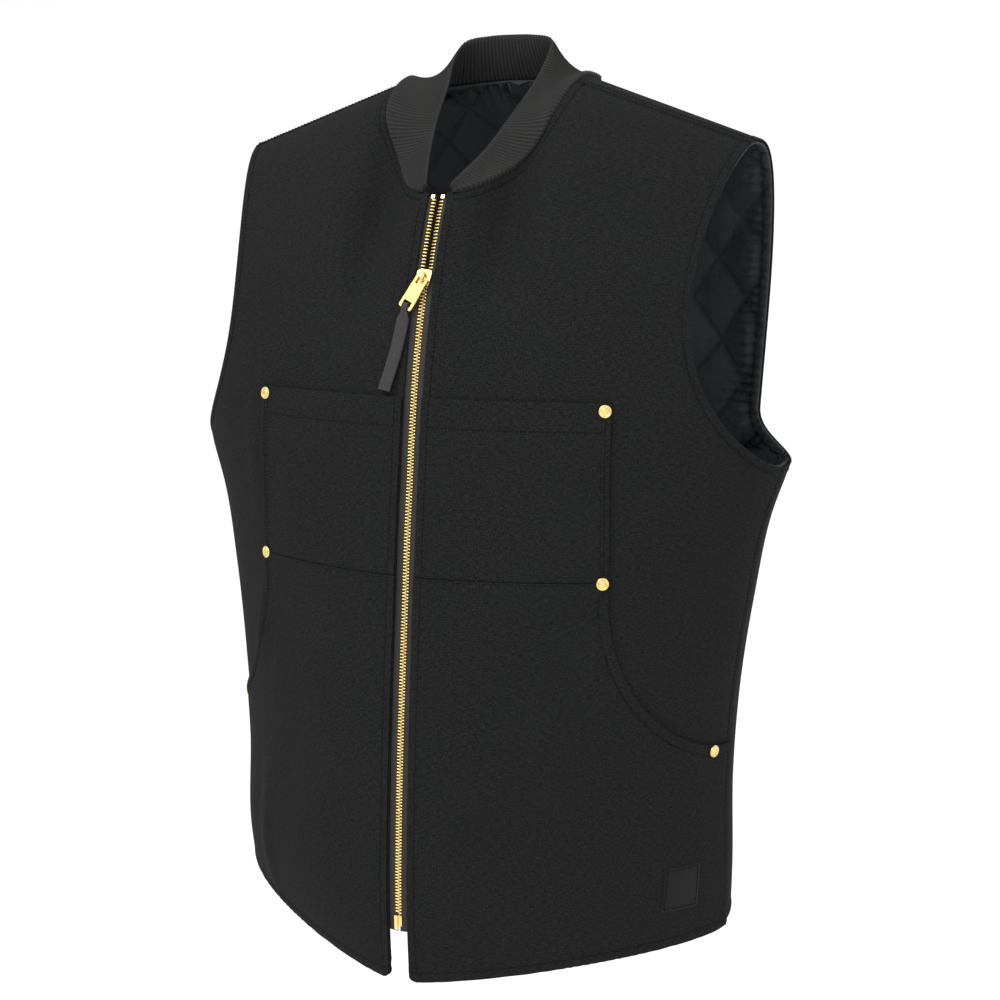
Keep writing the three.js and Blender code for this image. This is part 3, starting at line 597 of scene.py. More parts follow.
class Graph:
    """Node tree of one material."""

    def __init__(self, name: str) -> None:
        """Makes the material with its shader and output."""
        self.material = bpy.data.materials.new(name)
        self.material.use_nodes = True
        self.tree = self.material.node_tree
        self.shader = self.tree.nodes["Principled BSDF"]

    def add(self, kind: str, settings: dict | None = None, inputs: dict | None = None,
            out: int | str = 0) -> Value:
        """Adds a node.

        Args:
            kind: type of the node.
            settings: attributes that are set first.
            inputs: values or links by socket name or number.
            out: output socket that is returned.

        Returns:
            The output as a value.
        """
        node = self.tree.nodes.new(kind)
        for key, value in (settings or {}).items():
            setattr(node, key, value)
        for key, value in (inputs or {}).items():
            self.feed(node.inputs[key], value)
        return Value(self, node.outputs[out])

    def feed(self, socket: bpy.types.NodeSocket, value: object) -> None:
        """Links a value to a socket or sets the socket."""
        if isinstance(value, Value):
            self.tree.links.new(value.socket, socket)
        else:
            socket.default_value = value

    def set(self, **inputs: object) -> None:
        """Sets or links sockets of the shader by name, underscores for spaces."""
        for key, value in inputs.items():
            self.feed(self.shader.inputs[key.replace("_", " ")], value)

    def flat(self) -> tuple[Value, Value]:
        """Flat coordinates of the cloth in metres."""
        coordinates = self.add("ShaderNodeUVMap", {"uv_map": "Cloth"})
        across = self.add("ShaderNodeSeparateXYZ", None, {0: coordinates})
        return across, Value(self, across.socket.node.outputs[1])

    def place(self) -> Value:
        """Object coordinates in metres."""
        return self.add("ShaderNodeTexCoord", out="Object")

    def noise(self, scale: float, detail: float = 2.0, at: Value | None = None) -> Value:
        """Noise of about 0 to 1, in the object's space unless a place is given."""
        inputs = {"Vector": at or self.place(), "Scale": scale, "Detail": detail}
        return self.add("ShaderNodeTexNoise", None, inputs)

    def streaks(self, u: Value, v: Value, across: float, along: float, seed: float = 0.0) -> Value:
        """Noise drawn out along the second coordinate, with features of the two sizes in metres."""
        inputs = {0: u * (1 / across), 1: v * (1 / along), 2: seed}
        return self.noise(1.0, 2.0, self.add("ShaderNodeCombineXYZ", None, inputs))

    def mix(self, factor: object, first: object, second: object) -> Value:
        """Colour between two."""
        return self.add("ShaderNodeMix", {"data_type": "RGBA"}, {0: factor, 6: first, 7: second}, out=2)

    def bump(self, height: Value, distance: float, strength: float = 1.0) -> None:
        """Bump of a height in metres of the distance given."""
        inputs = {"Height": height, "Distance": distance, "Strength": strength}
        self.set(Normal=self.add("ShaderNodeBump", None, inputs))


def grey(value: float, warm: float = 0.0) -> tuple[float, float, float, float]:
    """Neutral colour with a slight warm or cool lean."""
    return (value * (1 + warm), value, value * (1 - warm), 1.0)


class Finish:
    """A finish that paints the node graph of its own material."""

    name: str

    def paint(self, g: Graph) -> None:
        """Feeds the shader of the graph; each finish has its own way."""
        raise NotImplementedError

    def material(self) -> bpy.types.Material:
        """Makes the material and paints it.

        Returns:
            The material.
        """
        graph = Graph(self.name)
        self.paint(graph)
        return graph.material


@dataclass(frozen=True)
class Canvas(Finish):
    """Heavy plain-weave cotton: threads that pass over and under, slubs and a soft nap."""

    name: str = "canvas"
    tone: float = 0.0116
    warm: float = -0.025
    thread: float = 0.0012
    nap: float = 0.004

    def paint(self, g: Graph) -> None:
        """Weave and slubs on the flat coordinates."""
        u, v = g.flat()
        warp = (u * (math.pi / self.thread)).sine()
        weft = (v * (math.pi / self.thread)).sine()
        over = warp * weft > 0.0
        weave = warp.size() * over + weft.size() * (1 - over)
        up = g.streaks(u, v, 0.0006, 0.003)
        across = g.streaks(v, u, 0.0007, 0.0045, 7.0)
        fleck = g.streaks(v, u, 0.0007, 0.0014, 3.0)
        cloud = g.noise(16.0, 3.0)
        shade = weave * 0.3 + (up + across - 1.0) * 1.5 + (fleck - 0.5) * 1.6 + cloud * 0.2 + 0.2
        dark, light = grey(self.tone * 0.45, self.warm), grey(self.tone * 1.75, self.warm)
        g.set(Base_Color=g.mix(shade, dark, light), Roughness=0.86 + cloud * 0.1)
        g.set(Specular_IOR_Level=0.05, Sheen_Weight=self.nap, Sheen_Roughness=0.4)
        g.bump(weave * 0.5 + up * 0.35 + across * 0.35 + fleck * 0.3, 0.0005, 0.9)


@dataclass(frozen=True)
class Satin(Finish):
    """Smooth quilting satin with a soft shine and fine yarns."""

    name: str = "lining_satin"
    tone: float = 0.034
    warm: float = -0.06
    quilt: float = 0.056
    quilt_slope: float = 0.8

    def paint(self, g: Graph) -> None:
        """Yarns, fine creases in the bump and painted shade along the quilt lines, on the flat coordinates.
        """
        u, v = g.flat()
        yarn = g.streaks(u, v, 0.0005, 0.006)
        cloud = g.noise(30.0, 3.0)
        crease = g.noise(160.0, 3.0)
        dark, light = grey(self.tone * 0.6, self.warm), grey(self.tone * 1.75, self.warm)
        turn = math.pi / self.quilt
        sway = (g.noise(22.0, 2.0) - 0.5) * 0.02
        first = ((u + v * self.quilt_slope + sway) * turn).sine().size()
        second = ((u - v * self.quilt_slope + sway) * turn).sine().size()
        # Painted shade along the quilt lines: the colour falls to 0.4 of itself where the padding is sewn
        # down and stays whole over the puffs.
        quilt_line_shade = (first.least(second) * 2.4 + 0.4).least(1.0)
        g.set(Base_Color=g.mix((yarn * 0.6 + cloud * 0.4) * quilt_line_shade, dark, light))
        g.set(Roughness=0.52 + yarn * 0.12 + cloud * 0.1, Specular_IOR_Level=0.03)
        g.bump(yarn * 0.1 + crease, 0.002, 0.8)


@dataclass(frozen=True)
class Knit(Finish):
    """Rib-knit wool: rows of loops along each rib, a little fuzz."""

    name: str = "collar_knit"
    tone: float = 0.023
    loop: float = 0.0018
    rib: float = 0.0033

    def paint(self, g: Graph) -> None:
        """Loops along the ribs, and painted shade in the valleys between the ribs."""
        u, v = g.flat()
        turn = 2 * math.pi
        # Painted shade between the ribs: this term lightens the colour on each rib's crown and darkens it in
        # the valleys, in step with the ribs of the collar's mesh.
        rib = (u * (turn / self.rib)).sine() * 0.5 + 0.5
        loops = (v * (turn / self.loop) + (u * (2 * turn / self.rib)).sine() * 0.8).sine() * 0.5 + 0.5
        fuzz = g.noise(1500.0)
        cloud = g.noise(40.0)
        dark, light = grey(self.tone * 0.3, 0.015), grey(self.tone * 1.6, 0.015)
        g.set(Base_Color=g.mix(rib * 0.32 + loops * 0.25 + fuzz * 0.35 + cloud * 0.2 - 0.04, dark, light))
        g.set(Roughness=0.84 + fuzz * 0.14, Specular_IOR_Level=0.1, Sheen_Weight=0.04, Sheen_Roughness=0.4)
        g.bump(loops * 0.7 + fuzz * 0.5, 0.0003, 0.8)


@dataclass(frozen=True)
class Webbing(Finish):
    """Woven tape, strap or patch with a chevron weave."""

    name: str = "zip_tape"
    tone: float = 0.034
    pitch: float = 0.0016
    warm: float = 0.03

    def paint(self, g: Graph) -> None:
        """Chevrons across the flat coordinates."""
        u, v = g.flat()
        zigzag = (u * (math.pi / self.pitch)).sine().size()
        rows = (v * (2 * math.pi / self.pitch) + zigzag * 4.0).sine() * 0.5 + 0.5
        fuzz = g.noise(1800.0)
        dark, light = grey(self.tone * 0.5, self.warm), grey(self.tone * 1.6, self.warm)
        g.set(Base_Color=g.mix(rows * 0.5 + fuzz * 0.45, dark, light), Roughness=0.78 + fuzz * 0.18)
        g.set(Specular_IOR_Level=0.15, Sheen_Weight=0.03)
        g.bump(rows + fuzz * 0.4, 0.00025, 0.8)


@dataclass(frozen=True)
class Brass(Finish):
    """Polished brass with fine scratches and slight tarnish."""

    name: str = "brass"
    colour: tuple[float, float, float] = (0.87, 0.66, 0.27)
    rough: float = 0.16

    def paint(self, g: Graph) -> None:
        """Scratches and tarnish in the object's space."""
        cloud = g.noise(220.0, 4.0)
        grain = g.noise(2600.0)
        bright = (*self.colour, 1.0)
        dull = tuple(c * f for c, f in zip(self.colour, (0.6, 0.52, 0.4))) + (1.0,)
        g.set(Base_Color=g.mix((cloud - 0.35) * 1.3, bright, dull), Metallic=1.0)
        g.set(Roughness=self.rough + cloud * 0.14 + grain * 0.08)
        g.bump(grain, 0.00006, 0.5)


@dataclass(frozen=True)
class Thread(Finish):
    """Twisted sewing thread."""

    name: str = "thread"
    # Near black: partly the thread's own black, partly painted shade of the stitches and the grooves they sit
    # in, so that each row reads as a dark line.
    tone: float = 0.003

    def paint(self, g: Graph) -> None:
        """Fine ply in the object's space."""
        ply = g.noise(3200.0)
        g.set(Base_Color=g.mix(ply, grey(self.tone * 0.6), grey(self.tone * 1.6)), Roughness=0.6 + ply * 0.2)
        g.set(Specular_IOR_Level=0.12)
        g.bump(ply, 0.0001, 0.6)


class Finishes:
    """Materials of the vest, each made once."""

    def __init__(self) -> None:
        """Makes every finish."""
        self.canvas = Canvas().material()
        self.lining = Satin().material()
        self.knit = Knit().material()
        self.tape = Webbing().material()
        self.strap = Webbing("strap_webbing", 0.036, 0.0014, 0.0).material()
        self.label = Webbing("label_weave", 0.0085, 0.0011, 0.0).material()
        self.brass = Brass().material()
        self.thread = Thread().material()


def dress(obj: bpy.types.Object, finish: bpy.types.Material, body: Body, slot: str,
          *nodes: str) -> bpy.types.Object:
    """Gives a piece its finish and body, and lets it stand for CAD nodes by hiding them.

    Args:
        obj: the piece.
        finish: its material.
        body: the body that it rides on.
        slot: the record's material slot; not used.
        nodes: names of the nodes that it replaces.

    Returns:
        The piece.
    """
    obj.data.materials.clear()
    obj.data.materials.append(finish)
    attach(obj, body.value)
    if nodes:
        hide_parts(*nodes)
    LOG.info("%s: %d faces", obj.name, len(obj.data.polygons))
    return obj


def cut_sheet(strips: Sequence[Strip],
              rests: Sequence[str]) -> None:
    """Works out the area of a sheet of cloth from its strips; the area is not used further.

    Args:
        strips: the sheets that it was made from, for their area.
        rests: what it rests on; not used.
    """
    area = sum(strip.area() for strip in strips)


@dataclass(frozen=True)
class Fold:
    """A soft ridge or dent of the worn cloth along a line, by angle in degrees and height."""

    hand: Hand
    angle: float
    z: float
    turn: float
    length: float
    width: float
    height: float


@dataclass(frozen=True)
class Relief:
    """Soft unevenness of the worn shell: named folds and a slow swell."""

    folds: tuple[Fold, ...] = (
        Fold(Hand.LEFT, 81, -503, -32, 24, 6, 2.4),
        Fold(Hand.LEFT, 84, -512, -32, 20, 5, -1.5),
        Fold(Hand.LEFT, 40, -640, 84, 70, 26, 1.6),
        Fold(Hand.LEFT, 62, -630, 95, 60, 20, -1.6),
        Fold(Hand.LEFT, 70, -330, 60, 45, 18, 1.4),
        Fold(Hand.LEFT, 62, -300, 50, 50, 20, -1.2),
        Fold(Hand.RIGHT, 58, -303, 88, 34, 9, 2.6),
        Fold(Hand.RIGHT, 57, -440, 97, 34, 9, 2.6),
        Fold(Hand.RIGHT, 59, -633, 96, 52, 10, 3.0),
        Fold(Hand.RIGHT, 66, -620, 98, 48, 10, -1.8),
        Fold(Hand.RIGHT, 44, -560, 100, 80, 22, -1.4),
    )
    swell: float = 0.7
    round_scale: float = 180.0

    def height(self, angle: Array, z: Array, hand: Hand) -> Array:
        """Sum of bell-shaped ridges, each turned to its direction, and of three slow waves.

        Args:
            angle: angles from the middle in radians.
            z: heights.
            hand: side of the body, which has its own folds.

        Returns:
            How far the cloth stands out.
        """
        total = np.zeros(np.broadcast(angle, z).shape)
        for f in self.folds:
            if f.hand is not hand:
                continue
            s = (angle - math.radians(f.angle)) * self.round_scale
            t = z - f.z
            c, k = math.cos(math.radians(f.turn)), math.sin(math.radians(f.turn))
            along, across = s * c + t * k, -s * k + t * c
            total = total + f.height * np.exp(-(along / f.length) ** 2 - (across / f.width) ** 2)
        s = angle * self.round_scale + 40 * hand.value
        waves = np.sin(s / 31 + z / 57 + 0.6) + np.sin(s / 47 - z / 39 + 2.1) + np.sin(z / 71 + s / 90 + 4.0)
        return total + self.swell * waves / 3


@dataclass(frozen=True)
class Roll:
    """Sewn edge of a panel: half round between the edge and its stitch line, with a groove at the line."""

    width: float
    height: float
    groove: float = 0.35
    groove_width: float = 1.3

    def lift(self, distance: Array) -> Array:
        """Height over the distance from the edge: a power of a half sine less a bell at the line."""
        arch = np.sin(math.pi * np.clip(distance / self.width, 0, 1)) ** 0.7
        return self.height * arch - self.groove * np.exp(-((distance - self.width) / self.groove_width) ** 2)


@dataclass(frozen=True)
class Band:
    """Padded band sewn along an edge of the lining, with gathers that run into the quilting."""

    width: float = 8.5
    height: float = 1.7
    gather: float = 8.0
    depth: float = 2.1
    reach: float = 22

    def lift(self, distance: Array, along: Array) -> Array:
        """Half-round band over the distance from the edge, times gathers along it that fade inward.

        Args:
            distance: distances from the edge.
            along: lengths along the edge.

        Returns:
            Height of the band.
        """
        inside = np.clip(distance / self.width, 0, 1)
        puff = self.height * np.sqrt(1 - (2 * inside - 1) ** 2)
        waves = np.sin(2 * math.pi * along / self.gather + 1.7 * np.sin(along / 19))
        beyond = np.exp(-(np.maximum(distance - self.width, 0) / self.reach) ** 2)
        return puff * (1 + 0.5 * waves) + self.depth * waves * beyond * (inside >= 1)


@dataclass
class Shell:
    """Canvas panels with their lining: two fronts and the back."""

    shell: float = 1.5
    gap: float = 0.35
    edge_x: float = 8.0
    side_gap: float = 0.00006
    crowd: float = 0.72
    lower_rows: int = 84
    upper_rows: int = 84
    columns: int = 66
    lining_columns: int = 72
    lining_rows: int = 176
    lining_skip: tuple[int, int] = (8, 7)
    lining_back_off: float = 0.6
    lining_wall: float = 1.2
    quilt: float = 56.0
    quilt_slope: float = 0.8
    puff: float = 5.5
    puff_power: float = 0.6
    wrinkle: float = 1.8
    band_fade: float = 7
    fade: float = 18.0
    hem_crowd: float = 1.35
    chest_crowd: float = 1.5
    neck_crowd: float = 1.3
    back_crowd: float = 1.6
    neck_gap: float = 0.006
    seam_gap: float = 0.0008
    turn_rows: int = 16
    over_shares: tuple[float, ...] = (0.25, 0.6, 1.0)
    join: float = 0.00002
    edge_points: int = 700
    relief: Relief = field(default_factory=Relief)
    band: Band = Band()
    neck_band: Band = Band(3.5, 1.2, 9.5, 3.0, 26)
    armhole_roll: Roll = Roll(6.5, 0.45)
    hem_roll: Roll = Roll(8, 0.7)
    seam_roll: Roll = Roll(5, 0.6)
    neck_roll: Roll = Roll(7, 0.4)
    faces: dict[tuple[Side, Hand], Strip] = field(default_factory=dict)

    def steps(self, count: int) -> Array:
        """Shares across a panel, crowded towards both edges: t less a sine."""
        t = np.linspace(0, 1, count)
        return t - self.crowd * np.sin(2 * math.pi * t) / (2 * math.pi)

    def lower(self, side: Side, inner: float, count: int) -> Array:
        """Rows from the hem to the underarm, by angle round the body and share of the height.

        Args:
            side: front or back.
            inner: distance of the inner edge from the middle.
            count: number of columns.

        Returns:
            Grid of points.
        """
        lift = np.linspace(0, 1, self.lower_rows)[:, None] ** self.hem_crowd
        z = FORM.hem(side, RIGHT_ANGLE) * (1 - lift) + FORM.underarm * lift
        first = FORM.section_angle(side, np.full_like(z, inner), z)
        angle = first + (RIGHT_ANGLE - self.side_gap - first) * self.steps(count)
        height = FORM.hem(side, angle) * (1 - lift) + FORM.underarm * lift
        return FORM.body_point(side, angle, height)

    def upper(self, side: Side, shares: Array, inner: Array, count: int) -> Array:
        """Rows above the underarm, at crowded angles between the inner edge and the armhole.

        Args:
            side: front or back.
            shares: shares of the height from the underarm to the shoulder line.
            inner: distance of the inner edge at each share.
            count: number of columns.

        Returns:
            Grid of points.
        """
        outer = FORM.armhole(side, shares)
        z = FORM.underarm + shares * (FORM.shoulder_height(outer) - FORM.underarm)
        first = FORM.section_angle(side, inner, z)
        last = FORM.section_angle(side, outer, z)
        angle = first[:, None] + (last - first)[:, None] * self.steps(count)
        x = FORM.body_point(side, angle, z[:, None])[..., 0]
        x[:, 0], x[:, -1] = inner, outer
        return FORM.yoke_point(side, x, shares[:, None])

    def front(self, count: int) -> Strip:
        """Left front from the hem to the shoulder seam, the inner edge along the zip and the neckline.

        Args:
            count: number of columns.

        Returns:
            The panel's sheet.
        """
        start = FORM.neck_start[1]
        steps = np.linspace(0, 1, self.upper_rows // 2)
        chest = steps[1:] ** self.chest_crowd * (start - self.neck_gap)
        neck = start + (FORM.seam_share - self.seam_gap - start) * steps ** self.neck_crowd
        shares = np.concatenate([chest, neck])
        inner = np.concatenate([np.full(len(chest), self.edge_x), FORM.neckline(neck)])
        rows = [self.lower(Side.FRONT, self.edge_x, count), self.upper(Side.FRONT, shares, inner, count)]
        points = np.concatenate(rows)
        return Strip(points, Strip.of(points).normals, FORM.flat(Side.FRONT, points))

    def back_half(self, count: int) -> tuple[Array, int]:
        """Left half of the back over the shoulder line to the seam, and the number of rows up to the neck.

        Args:
            count: number of columns.

        Returns:
            Grid of points and the number of rows.
        """
        start = FORM.neck_back_share
        main = np.linspace(0, 1, self.upper_rows)[1:] ** self.back_crowd * start
        turn = np.linspace(0, RIGHT_ANGLE, self.turn_rows)[1:]
        neck = 1 - (1 - start) * np.cos(turn)
        over = 1 - np.array(self.over_shares) * (1 - FORM.seam_share)
        rows = [
            self.lower(Side.BACK, 0.0, count),
            self.upper(Side.BACK, main, np.zeros(len(main)), count),
            self.upper(Side.BACK, neck, FORM.neck_side_x * np.sin(turn), count),
            self.upper(Side.FRONT, over, FORM.neckline(over), count),
        ]
        return np.concatenate(rows), self.lower_rows + len(main)

    def worn(self, points: Array, hand: Hand, edges: Sequence[Array]) -> Array:
        """Relief of the worn cloth, fading to nothing at edges.

        Args:
            points: points on the left.
            hand: side of the body that they stand for.
            edges: lines that hold the cloth.

        Returns:
            How far the cloth stands out.
        """
        angle = np.arctan2(np.abs(points[..., 0]), np.abs(points[..., 1]))
        held, _ = nearest(points, np.concatenate(edges))
        return self.relief.height(angle, points[..., 2], hand) * smooth_step(0, self.fade, held)

    def sewn(self, strip: Strip, neck: Array) -> Array:
        """Rolls of the armhole, side seam, hem and neck edges of a left panel.

        Args:
            strip: the panel's sheet, its last column on the outside.
            neck: points of the neck edge.

        Returns:
            Height of the rolls.
        """
        p = strip.points
        armhole, _ = nearest(p, p[self.lower_rows:, -1])
        seam, _ = nearest(p, p[:self.lower_rows, -1])
        hem, _ = nearest(p, p[0])
        collar, _ = nearest(p, neck)
        lift = self.armhole_roll.lift(armhole) + self.hem_roll.lift(hem) + self.neck_roll.lift(collar)
        return lift + self.seam_roll.lift(seam)

    def quilting(self, strip: Strip, armhole: Array, neck: Array) -> Array:
        """Height of the padding: diamonds sewn down along their edges, bands and gathers at two edges.

        Args:
            strip: the lining's sheet.
            armhole: points of its armhole edge.
            neck: points of its neck edge.

        Returns:
            Height of the padding at each point.
        """
        u, v = strip.flat[..., 0], strip.flat[..., 1] * self.quilt_slope
        rows = np.sin(math.pi * (u + v) / self.quilt) * np.sin(math.pi * (u - v) / self.quilt)
        puffs = np.abs(rows) ** self.puff_power
        wrinkle = np.sin(u / 4.1 + 2 * np.sin(v / 7)) * np.sin(v / 4.2 + 1.5 * np.sin(u / 11))
        padding = self.puff * puffs + self.wrinkle * wrinkle * puffs * (1 - puffs)
        for edge, band in ((armhole, self.band), (neck, self.neck_band)):
            edge = Collar.along(edge, np.linspace(0, 1, self.edge_points))
            distance, number = nearest(strip.points, edge)
            padding = padding * smooth_step(band.width, band.width + self.band_fade, distance)
            padding = padding + band.lift(distance, run_length(edge)[number])
        return padding

    def lining_faces(self, strip: Strip, armhole: Array, neck: Array) -> tuple[float, Array]:
        """Distances of the lining's outer and inner face."""
        outer = -self.shell - self.gap - self.lining_back_off
        return outer, outer - self.lining_wall - self.quilting(strip, armhole, neck)

    def build(self, finishes: Finishes) -> None:
        """Makes the panels and their lining and dresses them.

        Args:
            finishes: materials of the vest.
        """
        strip = self.front(self.columns)
        inside = replace(self, upper_rows=self.lining_rows).front(self.lining_columns)
        row, column = self.lining_skip
        inside = Strip(*(grid[row:, column:] for grid in (inside.points, inside.normals, inside.flat)))
        padding = self.lining_faces(inside, inside.points[self.lower_rows - row:, -1], inside.points[-6:, 0])
        neck = strip.points[self.lower_rows + self.upper_rows // 2 - 1:, 0]
        rolls = self.sewn(strip, neck)
        p = strip.points
        for hand in Hand:
            name = f"front_{hand.word}"
            lift = rolls + self.worn(p, hand, (p[0], p[-1], p[:, 0], p[:, -1]))
            self.faces[Side.FRONT, hand] = strip.moved(lift)
            sheet, lining, outer, inner = strip, inside, lift, padding[1]
            if hand is Hand.RIGHT:
                sheet, lining = strip.mirrored(), inside.mirrored()
                outer, inner = lift[:, ::-1], inner[:, ::-1]
            panel = make_object(name + "_canvas", wall(sheet, outer, outer - self.shell))
            dress(panel, finishes.canvas, Body.VEST, "canvas", name)
            cut_sheet([sheet], [f"lining_{name}"])
            quilt = make_object(f"lining_{name}_quilt", wall(lining, padding[0], inner))
            dress(quilt, finishes.lining, Body.VEST, "lining", f"lining_{name}")
        self.back(finishes)

    def back(self, finishes: Finishes) -> None:
        """Makes the back panel and its lining, each of two halves that meet in the middle up to the neck.

        Args:
            finishes: materials of the vest.
        """
        half, joined = self.back_half(self.columns)
        strip = self.halved(half, joined)
        rolls = self.sewn(strip, half[joined:, 0])
        parts = []
        for hand in Hand:
            self.faces[Side.BACK, hand] = strip.moved(rolls)
            parts.append(self.turned(strip, rolls, rolls - self.shell, hand, joined))
        panel = weld(make_object("back_canvas", Mesh.joined(parts)), self.join)
        dress(panel, finishes.canvas, Body.VEST, "canvas", "back")
        cut_sheet([strip, strip], ["lining_back"])
        half, joined = replace(self, upper_rows=self.lining_rows).back_half(self.lining_columns)
        lining = self.halved(half, joined)
        outer, inner = self.lining_faces(lining, half[self.lower_rows:, -1], half[joined:, 0])
        parts = [self.turned(lining, outer + 0 * inner, inner, hand, joined) for hand in Hand]
        quilt = weld(make_object("lining_back_quilt", Mesh.joined(parts)), self.join)
        dress(quilt, finishes.lining, Body.VEST, "lining", "lining_back")

    @staticmethod
    def halved(half: Array, joined: int) -> Strip:
        """Strip of the left half of the back, its normals straight back along the joined middle.

        Args:
            half: grid of points, the middle first.
            joined: number of rows that meet in the middle.

        Returns:
            The strip.
        """
        normals = Strip.of(half, half * np.array([1, 1, 0])).normals
        normals[:joined, 0, 0] = 0
        flat = FORM.flat(Side.BACK, half)
        over = np.linalg.norm(np.diff(half[-4:], axis=0), axis=-1).cumsum(0)
        flat[-3:, :, 1] = flat[-4, :, 1] + over
        return Strip(half, unit(normals), flat)

    @staticmethod
    def turned(strip: Strip, outer: Array, inner: Array, hand: Hand, joined: int) -> Mesh:
        """Wall of one half of the back, its columns put in the order that faces out.

        Args:
            strip: left half, the middle first.
            outer: distance of the outer face.
            inner: distance of the inner face.
            hand: half to make.
            joined: number of rows that the two halves share in the middle.

        Returns:
            The wall.
        """
        last = strip.points.shape[1] - 1
        if hand is Hand.RIGHT:
            flip = np.array([-1, 1, 1])
            right = Strip(strip.points * flip, strip.normals * flip, strip.flat * np.array([-1, 1]))
            return wall(right, outer, inner, (0, joined))
        left = Strip(strip.points[:, ::-1], strip.normals[:, ::-1], strip.flat[:, ::-1])
        return wall(left, outer[:, ::-1], inner[:, ::-1], (last, joined))


@dataclass
class Collar:
    """Rib-knit band from the neck seam to its free edge."""

    thick: float = 3.6
    crown: float = 3.0
    full: float = 40.0
    seam_tuck: float = 1.2
    tuck: float = 2.5
    tuck_from: float = 5.0
    tuck_full: float = 40.0
    rib: float = 3.3
    rib_height: float = 0.95
    columns: int = 1180
    rows: int = 15
    edge: tuple[tuple[float, float, float], ...] = (
        (9, -92, -87), (22, -56, -60), (32, -21, -30), (37, 9.5, -4),
        (39.5, 30.5, 21.5), (35.5, 43, 34.5), (19, 49, 38.5), (0, 51, 39.5),
    )

    @staticmethod
    def along(line: Array, shares: Array) -> Array:
        """Points of a line at shares of its length, on cubic pieces with centred slopes.

        Args:
            line: points of the line.
            shares: shares of its length.

        Returns:
            The points.
        """
        steps = np.sqrt(np.linalg.norm(np.diff(line, axis=0), axis=-1))
        knots = np.concatenate([[0], np.cumsum(steps)])
        fine = np.linspace(0, knots[-1], 900)
        table = {"k": knots, "x": line[:, 0], "y": line[:, 1], "z": line[:, 2]}
        dense = np.stack([read_table(table, c, fine, "k") for c in "xyz"], -1)
        length = run_length(dense)
        return np.stack([np.interp(shares * length[-1], length, dense[:, c]) for c in range(3)], -1)

    @staticmethod
    def seam() -> tuple[Array, Array]:
        """Left half of the neck seam: from the zip to the shoulder line, and on to the middle of the back."""
        share = FORM.neck_start[1] + (1 - FORM.neck_start[1]) * np.linspace(0, 1, 160) ** 1.3
        front = FORM.yoke_point(Side.FRONT, FORM.neckline(share), share)
        turn = np.linspace(RIGHT_ANGLE, 0, 90)[1:]
        level = 1 - (1 - FORM.neck_back_share) * np.cos(turn)
        return front, FORM.yoke_point(Side.BACK, FORM.neck_side_x * np.sin(turn), level)

    def strip(self) -> Strip:
        """Whole band: straight rises from the seam to the free edge with a slight crown."""
        flip = np.array([-1, 1, 1])
        seam = np.concatenate(self.seam())
        seam = np.concatenate([seam, seam[-2::-1] * flip])
        edge = np.array(self.edge, float)
        edge = np.concatenate([edge, edge[-2::-1] * flip])
        share = np.linspace(0, 1, self.columns)
        foot, top = self.along(seam, share), self.along(edge, share)
        rise = top - foot
        length = np.linalg.norm(rise, axis=-1, keepdims=True)
        tuck = self.tuck * smooth_step(self.tuck_from, self.tuck_full, foot[:, 1:2])
        foot = foot - rise / length * (self.seam_tuck + tuck)
        rise = top - foot
        out = unit(np.cross(rise, np.gradient(foot, axis=0)))
        w = np.linspace(0, 1, self.rows)[:, None, None]
        bulge = 4 * w * (1 - w) * self.crown * np.minimum(length / self.full, 1)
        grid = foot + rise * w + out * bulge
        return Strip.of(grid[:, ::-1], out[::-1])

    def build(self, finishes: Finishes) -> None:
        """Makes the band with its ribs on both faces, the free edge rounded off.

        Args:
            finishes: materials of the vest.
        """
        strip = self.strip()
        ribs = np.sin(2 * math.pi * strip.flat[..., 0] / self.rib)
        roll = np.sqrt(np.clip(1 - np.linspace(0, 1, self.rows)[:, None] ** 10, 0, 1))
        height = np.sign(ribs) * np.abs(ribs) ** 0.6 * self.rib_height / 2
        half = self.thick / 2
        shape = wall(strip, height - half + half * roll, height - half - half * roll)
        band = make_object("collar_rib", shape)
        dress(band, finishes.knit, Body.VEST, "knit", "collar")
        cut_sheet([strip], ["back_canvas"])


